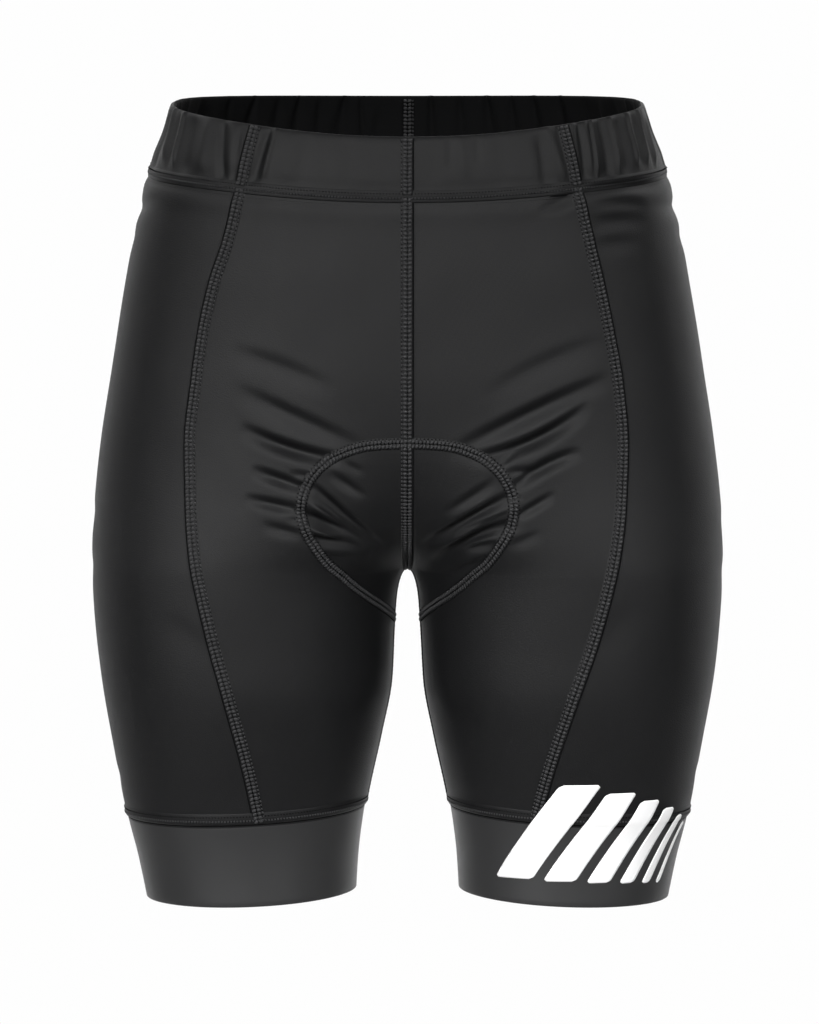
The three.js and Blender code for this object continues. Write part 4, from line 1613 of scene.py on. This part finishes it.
@dataclass(frozen=True)
class Waistband:
    """The gathered, elasticated casing: a closed band with a rounded upper edge.

    Attributes:
        garment: The face that it continues.
        columns: Faces round each half.
        rows_up, rows_down, rim_rows: Faces up its outer face, down its inner face and over its edge.
        gap: Space between it and the panels.
    """

    garment: Garment
    columns: int = 620
    rows_up: int = 18
    rows_down: int = 9
    rim_rows: int = 6
    gap: float = 0.3

    def make(self, finishes: Finishes) -> Piece:
        """Makes the band as a grid that closes both round the waist and round its section."""
        figure = self.garment.figure
        wall = self.garment.band_wall
        up, depth = tube_section(wall, figure.band_height, self.rows_up, self.rim_rows, self.rows_down)
        lines = HalfLines.at_heights(
            figure, lambda turn: mix(figure.band_line(turn) + self.gap / 2, figure.top_line(turn), up))
        share = (np.arange(self.columns) + 0.5) / self.columns
        half = lines.at(share[None, :] * lines.lengths[:, None])
        bare = np.concatenate([half, half[:, ::-1] * np.array([-1, 1, 1])], axis=1)
        normals = unit(figure.gradient(bare))
        turn = figure.turn_of(bare)
        face = self.garment.band_face(self.garment.arc_of(bare, turn), np.broadcast_to(up, turn.shape))
        points = bare + normals * (face - depth)[..., None]
        around = np.linspace(0, 2 * lines.lengths.mean(), 2 * self.columns + 1)
        section = path_runs(points[:, 0])
        section = np.append(section, section[-1] + wall)
        uv = np.stack(np.meshgrid(section, around, indexing="ij")[::-1], axis=-1)
        # The rim's points face up and the inner face's point in, as the depth's change says
        outward = normals * np.where(depth < wall / 2, 1, -1)[..., None]
        shape = Shape.grid(points, outward, uv, around=True, along=True)
        row = np.repeat(np.arange(len(up)), 2 * self.columns)
        inner = (row >= self.rows_up + self.rim_rows // 2) & (row < len(up) - 1)
        shape = replace(shape, kinds=inner.astype(int))
        piece = shape.piece("waistband_cloth", "band_cloth", finishes.band, finishes.lining)
        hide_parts("waistband")
        return piece


@dataclass(frozen=True)
class GripBand:
    """A smooth band at a leg's end, with rounded edges.

    Attributes:
        garment: The face that it continues.
        side: Which leg.
        columns: Faces round it.
        rows_down, rows_up, rim_rows: Faces down its outer face, up its inner face and round its hem.
        gap: Space between it and the panels.
        evenness: Its share of the cloth's unevenness.
    """

    garment: Garment
    side: Side
    columns: int = 200
    rows_down: int = 18
    rows_up: int = 8
    rim_rows: int = 6
    gap: float = 0.3
    evenness: float = 0.25

    def make(self, finishes: Finishes) -> Piece:
        """Makes the band as a grid that closes both round the leg and round its section."""
        figure, wall = self.garment.figure, self.garment.grip_wall
        height = figure.grip_seam - figure.hem
        down, depth = tube_section(wall, height, self.rows_down, self.rim_rows, self.rows_up)
        lines = HalfLines.at_heights(
            figure, lambda turn: mix(figure.grip_line(turn) - self.gap / 2, figure.hem_line(turn), down))
        share = np.arange(self.columns) / self.columns
        bare = lines.at(share[None, :] * lines.lengths[:, None]) * np.array([self.side.value, 1, 1])
        normals = unit(figure.gradient(bare))
        inset = self.garment.grip_inset - self.evenness * self.garment.unevenness(bare)
        points = bare - normals * (inset + depth)[..., None]
        around = np.linspace(0, lines.lengths.mean(), self.columns + 1)
        section = np.append(path_runs(points[:, 0]), 2 * height + 2 * wall)
        uv = np.stack(np.meshgrid(section, around, indexing="ij")[::-1], axis=-1)
        outward = normals * np.where(depth < wall / 2, 1, -1)[..., None]
        shape = Shape.grid(points, outward, uv, around=True, along=True)
        name = f"grip_{self.side.word}"
        piece = shape.piece(f"{name}_band", "grip_cloth", finishes.grip)
        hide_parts(name)
        return piece


@dataclass(frozen=True)
class RiseWalk:
    """Finds places on the cloth by distance along the rise from the fork, and distance sideways from there.

    Attributes:
        figure: The form underneath.
        steps: Steps of each walk sideways.
    """

    figure: Figure
    steps: int = 48

    def start(self, distance: Array) -> Array:
        """Points of the middle line at distances from the fork, the front negative."""
        figure = self.figure
        z = figure.rise_heights
        parts = []
        for towards in (-1, 1):
            line = np.stack([np.zeros_like(z), figure.rise_depth(z, towards) * towards, z], axis=-1)
            parts.append((line, path_runs(line)))
        front, back = (np.stack([np.interp(np.abs(distance), runs, line[:, k]) for k in range(3)], axis=-1)
                       for line, runs in parts)
        return np.where((distance < 0)[:, None], front, back)

    def grid(self, distance: Array, length: Array) -> Array:
        """Walks sideways over the cloth in the plane square to the middle line.

        Each step follows the cloth's slope in the plane of x and the starting normal, and is then drawn back
        onto the cloth.

        Args:
            distance: Distances along the rise.
            length: How far each walk goes.

        Returns:
            Steps + 1 x count x 3 points, on the half with positive x.
        """
        figure = self.figure
        points = self.start(distance)
        facing = unit(figure.gradient(points) * np.array([0, 1, 1]))
        aside = np.array([1.0, 0, 0])
        path = [points]
        for _ in range(self.steps):
            slope = figure.gradient(points)
            out = (slope * facing).sum(-1)
            size = length / self.steps / np.hypot(slope[:, 0], out)
            points = points - facing * (slope[:, 0] * size)[:, None] + aside * (out * size)[:, None]
            for _ in range(3):
                slope = figure.gradient(points)
                out = (slope * facing).sum(-1)
                back = -figure.value(points) / (slope[:, 0] ** 2 + out**2)
                points = points + facing * (out * back)[:, None] + aside * (slope[:, 0] * back)[:, None]
            path.append(points)
        return np.stack(path)


@dataclass(frozen=True)
class SeatPad:
    """The moulded seat pad inside the crotch, and the seam that sews its outline to the shorts.

    Attributes:
        garment: The face that it lies behind.
        rows, columns: Faces along and across it.
        thick, edge_thick: Its thickness in the middle and at its edge.
        gap, fork_gap, fork_reach: How far it lies behind the cloth, and more near the fork.
        channels: Half widths of the sewn channels, as shares of the pad's.
        channel_depth, channel_width: Their size.
        cross_channels: Where the shallower ones cross, as shares of the pad's length.
    """

    garment: Garment
    rows: int = 110
    columns: int = 72
    thick: float = 7.6
    edge_thick: float = 2.0
    gap: float = 3.2
    fork_gap: float = 1.0
    fork_reach: float = 28.0
    channels: tuple[float, ...] = (0.34, 0.7)
    channel_depth: float = 3.2
    channel_width: float = 0.07
    cross_channels: tuple[float, ...] = (0.3, 0.48, 0.66, 0.82)

    def crown(self, along: Array, across: Array) -> Array:
        """Share of the full thickness over the pad.

        It is 1 less the fourth power of the share across, eased at both ends, with a dip exp(-w^2) along each
        sewn channel and shallower ones that cross.
        """
        side = np.abs(across)
        bow, width, share = 0.05, 0.012, 0.8
        body = (1 - side ** 4) * np.minimum(1, np.sin(math.pi * along) * 3)
        reach = smooth_step(0.1, 0.2, along) * (1 - smooth_step(0.86, 0.95, along))
        dips = np.zeros_like(body)
        for channel in self.channels:
            dips = np.maximum(dips, np.exp(-((side - channel) / self.channel_width) ** 2) * reach)
        for place in self.cross_channels:
            dips = np.maximum(dips, share * np.exp(-((along - place - bow * side) / width) ** 2))
        return body - dips * self.channel_depth / self.thick * body

    def make(self, finishes: Finishes) -> Piece:
        """Makes the pad as one closed grid: its face to the cloth, then its crowned face to the wearer."""
        t = np.linspace(0, 1, self.rows + 1)
        ends = PAD_OUTLINE["along"][[0, -1]]
        distance = mix(ends[0], ends[1], (t + (1 - np.cos(math.pi * t)) / 2) / 2)
        half_width = TableCurve.through(PAD_OUTLINE, "along", "half")(distance)
        half = RiseWalk(self.garment.figure, self.columns // 2).grid(distance, half_width)
        bare = np.concatenate([half[::-1] * np.array([-1, 1, 1]), half[1:]], axis=0).transpose(1, 0, 2)
        across = np.linspace(-1, 1, bare.shape[1])[None, :]
        along = np.broadcast_to(t[:, None], bare.shape[:2])
        normals = unit(self.garment.figure.gradient(bare))
        near = self.fork_gap * np.exp(-((distance / self.fork_reach) ** 2))[:, None]
        depth = self.garment.cloth_wall + self.gap + near
        thick = mix(self.edge_thick, self.thick, self.crown(along, across))
        depth = depth - np.minimum(0, self.garment.folds(bare, normals))
        outer = bare - normals * depth[..., None]
        inner = bare - normals * (depth + thick)[..., None]
        points = np.concatenate([outer, inner[:, ::-1]], axis=1)
        outward = np.concatenate([normals, -normals[:, ::-1]], axis=1)
        run = np.arange(points.shape[1] + 1) * 1.5
        uv = np.stack(np.meshgrid(distance, run, indexing="ij"), axis=-1)
        shape = Shape.grid(points, outward, uv, around=True).capped(*points.shape[:2])
        piece = shape.piece("seat_pad_cushion", "pad_cloth", finishes.pad)
        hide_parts("seat_pad")
        return piece

    def outline(self) -> Array:
        """The sewn outline as a closed path: out along one side, back along the other, with round corners."""
        t = np.linspace(0, 1, 400)
        ends = SEWN_OUTLINE["along"][[0, -1]]
        distance = mix(ends[0], ends[1], (1 - np.cos(math.pi * t)) / 2)
        half = TableCurve.through(SEWN_OUTLINE, "along", "half")(distance)
        side = RiseWalk(self.garment.figure).grid(distance, half)[-1]
        loop = np.concatenate([side, side[::-1] * np.array([-1, 1, 1])])
        closed = np.concatenate([loop, loop[:1]])
        runs = path_runs(closed)
        even = resample(closed[None], runs[None], np.linspace(0, runs[-1], 601)[None, :-1])[0]
        window = 7
        kernel = np.hanning(window + 2)[1:-1]
        wrapped = np.concatenate([even[-window:], even, even[:window]])
        smooth = [np.convolve(wrapped[:, k], kernel / kernel.sum(), "same")[window:-window] for k in range(3)]
        path = self.garment.figure.onto(np.stack(smooth, axis=-1))
        return np.concatenate([path, path[:1]])


@dataclass(frozen=True)
class LegMark:
    """A plain graded row of slanting white bars round the wearer's left leg end.

    Attributes:
        garment: The face that the film is pressed on.
        start: Where the first bar begins, round the leg from its outermost line, the front negative.
        space: Gap between two bars.
        slant: How far a bar leans, for each millimetre of height.
        film: How far the film stands off the cloth.
        seam_rise: How far it rides up over the seams there.
        seam_reach, seam_up: How far to both sides it does, and how far above the band's line it is highest.
        corner, wall: Radius of its corners and thickness of the film.
    """

    garment: Garment
    start: float = -141.0
    space: float = 6.0
    slant: float = 0.36
    film: float = 0.16
    seam_rise: float = 1.35
    seam_reach: float = 9.0
    seam_up: float = 2.8
    corner: float = 2.0
    wall: float = 0.12

    BARS = table("width top foot", [
        (23, -356, -409),
        (18, -361, -410),
        (13.5, -366, -411),
        (9.5, -371, -412),
        (6.5, -376, -413),
        (4, -381, -414),
    ])

    def bar(self, left: float, row: np.void) -> Shape:
        """One bar: a slanting grid on the leg, whose ends are rounded by drawing in its outer columns."""
        figure = self.garment.figure
        down = np.linspace(0, 1, 48)[:, None]
        across = np.linspace(0, 1, max(5, int(row["width"] / 1.2)))[None, :]
        z = mix(row["top"], row["foot"], down)
        lines = HalfLines.at_heights(figure, lambda turn: np.broadcast_to(z, (len(z), turn.shape[1])))
        middle = lines.runs[:, lines.runs.shape[1] // 2][:, None]
        lean = (z - row["foot"]) * self.slant
        reach = np.minimum(down, 1 - down) * abs(row["top"] - row["foot"])
        past = np.maximum(0, self.corner - reach)
        draw = self.corner - np.sqrt(np.maximum(0, self.corner**2 - past**2))
        width = row["width"] - 2 * draw
        place = middle + left + draw + lean + width * across
        bare = lines.at(place)
        over = bare[..., 2] - figure.grip_line(figure.turn_of(bare)) - self.seam_up
        hem = np.exp(-((over / self.seam_reach) ** 2))
        beside = bare[..., 0] - TableCurve.through(FRONT_SEAMS, "z", "left")(bare[..., 2])
        long = np.exp(-((beside / self.seam_reach) ** 2)) * (bare[..., 1] < 0) * smooth_step(-4, 0, over)
        height = self.film + self.seam_rise * np.maximum(hem, long)
        points, normals = self.garment.lift(bare, height)
        uv = np.stack([place - middle, np.broadcast_to(z, place.shape)], axis=-1)
        return Shape.grid(points, normals, uv)

    def make(self, finishes: Finishes) -> Piece:
        """Makes all bars as one piece of thin film."""
        shapes = []
        left = self.start
        for row in self.BARS:
            shapes.append(self.bar(left, row))
            left += row["width"] + self.space
        return Shape.joined(shapes).piece("leg_mark_film", "print", finishes.film, thickness=self.wall)


@dataclass(frozen=True)
class Sewing:
    """Every cover seam of the shorts, on their outer face and, where it can be seen, on the inner one.

    Attributes:
        garment: What the seams are sewn on.
        panels: The body panels, which have the long seams' paths.
        pad: The seat pad, which has its outline's.
        hem_up: How far the grip band's seam lies above the panels' edge.
        inside_rows: Points of the middle back seam's path that also show inside.
    """

    garment: Garment
    panels: BodyPanels
    pad: SeatPad
    hem_up: float = 2.4
    inside_rows: int = 66

    def ring(self, height: Callable[[Array], Array], side: Side) -> Array:
        """A path round one half at heights given for each turn."""
        line = HalfLines.at_heights(self.garment.figure, height, samples=361)
        return line.points[0] * np.array([side.value, 1, 1])

    def waist_ring(self) -> Array:
        """The waistband's seam, all round."""
        left = self.ring(self.garment.figure.band_line, Side.LEFT)
        right = self.ring(self.garment.figure.band_line, Side.RIGHT)
        return np.concatenate([left, right[::-1][1:]])

    def grip_ring(self, side: Side) -> Array:
        """A grip band's cover seam, all round its leg."""
        return self.ring(lambda turn: self.garment.figure.grip_line(turn) + self.hem_up, side)

    def up_the_band(self, path: Array) -> Array:
        """A path that goes on from a long seam's upper end to the waistband's upper edge."""
        figure = self.garment.figure
        first, second = path[0], path[4]
        turn = figure.turn_of(first)
        z = np.linspace(figure.band_line(turn) + 1, figure.top_line(turn) - 0.8, 24)
        slope = (first[0] - second[0]) / (first[2] - second[2])
        points = np.stack([first[0] + slope * (z - first[2]), np.full_like(z, first[1]), z], axis=-1)
        return figure.onto(points, rounds=6)[::-1]

    def seams(self) -> list[Seam]:
        """All seams, in the order of sewing."""
        def seam(name: str, path: Array, **choices: object) -> Seam:
            """A seam of this garment."""
            return Seam(name, self.garment, path, **choices)

        twin = {"kind": SeamKind.TWIN, "closed": True}
        rows = self.panels.seam_rows + 1
        middle_front = self.panels.seam_path(Side.LEFT, 0)[:rows]
        middle_back = self.panels.seam_path(Side.LEFT, 3)[:rows]
        found = [
            seam("front_rise", middle_front),
            seam("back_rise", middle_back),
            seam("front_rise_band", self.up_the_band(middle_front)),
            seam("back_rise_band", self.up_the_band(middle_back)),
            seam("back_rise_inside", middle_back[:self.inside_rows], inside=True),
            seam("back_rise_band_inside", self.up_the_band(middle_back), inside=True),
            seam("waist_seam", self.waist_ring(), groove=-1.0, **twin),
            seam("waist_seam_inside", self.waist_ring(), groove=-1.0, inside=True, **twin),
            seam("pad_outline", self.pad.outline(), kind=SeamKind.PARALLEL, closed=True),
        ]
        for side in Side:
            word, out = side.word, float(side.value)
            found += [
                seam(f"inseam_{word}", self.panels.seam_path(side, 0)[rows - 1:], sunk=0.45),
                seam(f"grip_seam_{word}", self.grip_ring(side), groove=-out, **twin),
            ]
            for place, number in (("front", 1), ("back", 2)):
                path = self.panels.seam_path(side, number)
                found += [
                    seam(f"{place}_long_{word}", path, groove=out),
                    seam(f"{place}_long_{word}_band", self.up_the_band(path), groove=out),
                ]
        return found

    def make(self, finishes: Finishes) -> list[Piece]:
        """Makes every seam."""
        return [piece for seam in self.seams() for piece in seam.make(finishes)]


@dataclass(frozen=True)
class SoftBox:
    """One rectangular studio light.

    Attributes:
        name: Its name.
        place: Where it stands, in metres.
        aim: What it points at, in metres.
        size: Width and height in metres.
        power: Watts.
        spread: Angle that its beam covers, in degrees.
    """

    name: str
    place: Triple
    aim: Triple
    size: tuple[float, float]
    power: float
    spread: float = 180.0

    def make(self) -> None:
        """Sets the light up."""
        data = bpy.data.lights.new(self.name, "AREA")
        data.shape = "RECTANGLE"
        data.size, data.size_y = self.size
        data.energy = self.power
        data.spread = math.radians(self.spread)
        light = bpy.data.objects.new(self.name, data)
        light.location = self.place
        way = np.subtract(self.aim, self.place)
        light.rotation_euler = Vector(way.tolist()).to_track_quat("-Z", "Y").to_euler()
        bpy.context.scene.collection.objects.link(light)


@dataclass(frozen=True)
class Studio:
    """The pale sweep, the soft lights and the camera, which sees plain white air instead of the sweep.

    Attributes:
        floor: Height of the floor, in metres.
        wall: How far behind the garment the sweep turns up.
        bend: Radius of the turn.
        half, top: Half width of the sweep and its upper edge.
        distance: Camera distance.
        elevation: Its angle above the horizon, in degrees.
        centre: What the middle of the picture shows.
        frame_width: Width of the picture at that distance, in metres.
        sensor: Width of the camera's sensor, in millimetres.
        sky, white: The air's light on the garment, and the white seen behind it.
    """

    floor: float = -1.25
    wall: float = 2.6
    bend: float = 1.4
    half: float = 2.4
    top: float = 4.2
    distance: float = 2.4
    elevation: float = 3.0
    centre: Triple = (0.0011, 0.0, -0.2121)
    frame_width: float = 0.4545
    sensor: float = 36.0
    sky: float = 0.01
    white: float = 0.99

    LIGHTS = (
        SoftBox("key_light", (-1.45, -2.3, 0.5), (-0.03, 0, -0.45), (1.1, 0.9), 3.8, 28),
        SoftBox("fill_light", (1.5, -2.2, 0.7), (0.14, 0, -0.43), (1.1, 0.9), 2.7, 25),
        SoftBox("left_edge_light", (-1.5, 1.4, 0.2), (0, 0, -0.2), (0.4, 1.6), 0.5, 60),
        SoftBox("right_edge_light", (1.5, 1.4, 0.2), (0, 0, -0.2), (0.4, 1.6), 0.8, 60),
        SoftBox("left_paper_light", (-1.7, 1.1, 1.6), (0.3, 2.6, -0.6), (1.4, 1.0), 42, 120),
        SoftBox("right_paper_light", (1.7, 1.1, 1.6), (-0.3, 2.6, -0.6), (1.4, 1.0), 42, 120),
    )

    def sweep(self) -> None:
        """The floor and the wall behind as one bent sheet: flat, then a quarter circle, then upright."""
        angle = np.linspace(0, math.pi / 2, 24)
        y = np.concatenate([[-4.5], self.wall - self.bend + self.bend * np.sin(angle), [self.wall]])
        z = np.concatenate([[self.floor], self.floor + self.bend * (1 - np.cos(angle)), [self.top]])
        x = np.linspace(-self.half, self.half, 9)
        points = np.stack(np.broadcast_arrays(x[None, :], y[:, None], z[:, None]), axis=-1) / METRES
        facing = np.zeros_like(points)
        facing[..., 1], facing[..., 2] = -1, 1
        uv = np.zeros((*points.shape[:2], 2))
        nodes = Nodes("studio_paper")
        place = nodes.add("ShaderNodeTexCoord", {}).outputs["Object"]
        paper = nodes.finish({
            "Base Color": nodes.ramp(nodes.noise(place, 0.6, 1), (0.86, 0.86, 0.86), (0.88, 0.88, 0.88)),
            "Roughness": 0.9,
        })
        mesh = Shape.grid(points, facing, uv).mesh("studio_sweep")
        mesh.materials.append(paper)
        obj = bpy.data.objects.new("studio_sweep", mesh)
        bpy.context.scene.collection.objects.link(obj)
        obj.visible_camera = False

    def camera(self) -> None:
        """The camera, level with the garment but for a few degrees, with the photograph's framing."""
        data = bpy.data.cameras.new("camera")
        data.sensor_fit = "HORIZONTAL"
        data.sensor_width = self.sensor
        data.lens = self.sensor * self.distance / self.frame_width
        angle = math.radians(self.elevation)
        back = np.array([0, -math.cos(angle), math.sin(angle)])
        camera = bpy.data.objects.new("camera", data)
        camera.location = np.array(self.centre) + back * self.distance
        camera.rotation_euler = (math.pi / 2 - angle, 0, 0)
        bpy.context.scene.collection.objects.link(camera)
        bpy.context.scene.camera = camera

    def make(self) -> None:
        """Sets the studio up."""
        scene = bpy.context.scene
        world = bpy.data.worlds.new("studio_air")
        world.use_nodes = True
        air = world.node_tree
        background = air.nodes["Background"]
        background.inputs["Color"].default_value = (1, 1, 1, 1)
        strength = air.nodes.new("ShaderNodeMapRange")
        strength.inputs["To Min"].default_value = self.sky
        strength.inputs["To Max"].default_value = self.white
        air.links.new(air.nodes.new("ShaderNodeLightPath").outputs["Is Camera Ray"], strength.inputs["Value"])
        air.links.new(strength.outputs["Result"], background.inputs["Strength"])
        scene.world = world
        scene.view_settings.view_transform = "Standard"
        scene.view_settings.look = "None"
        self.sweep()
        self.camera()
        for light in self.LIGHTS:
            light.make()


def main() -> None:
    """Builds the garment's pieces in order, and the studio round them."""
    logging.basicConfig(level=logging.INFO, format="%(name)s: %(message)s", stream=sys.stdout)
    Studio().make()
    finishes = Finishes.make()
    garment = Garment(Figure())
    panels = BodyPanels(garment)
    pad = SeatPad(garment)
    cloth = panels.make(finishes)
    LOG.info("body: %d panels, fork at %.1f mm", len(cloth), garment.figure.fork)
    Waistband(garment).make(finishes)
    for side in Side:
        GripBand(garment, side).make(finishes)
    pad.make(finishes)
    seams = Sewing(garment, panels, pad).make(finishes)
    LOG.info("sewing: %d pieces", len(seams))
    LegMark(garment).make(finishes)


if __name__ == "__main__":
    main()
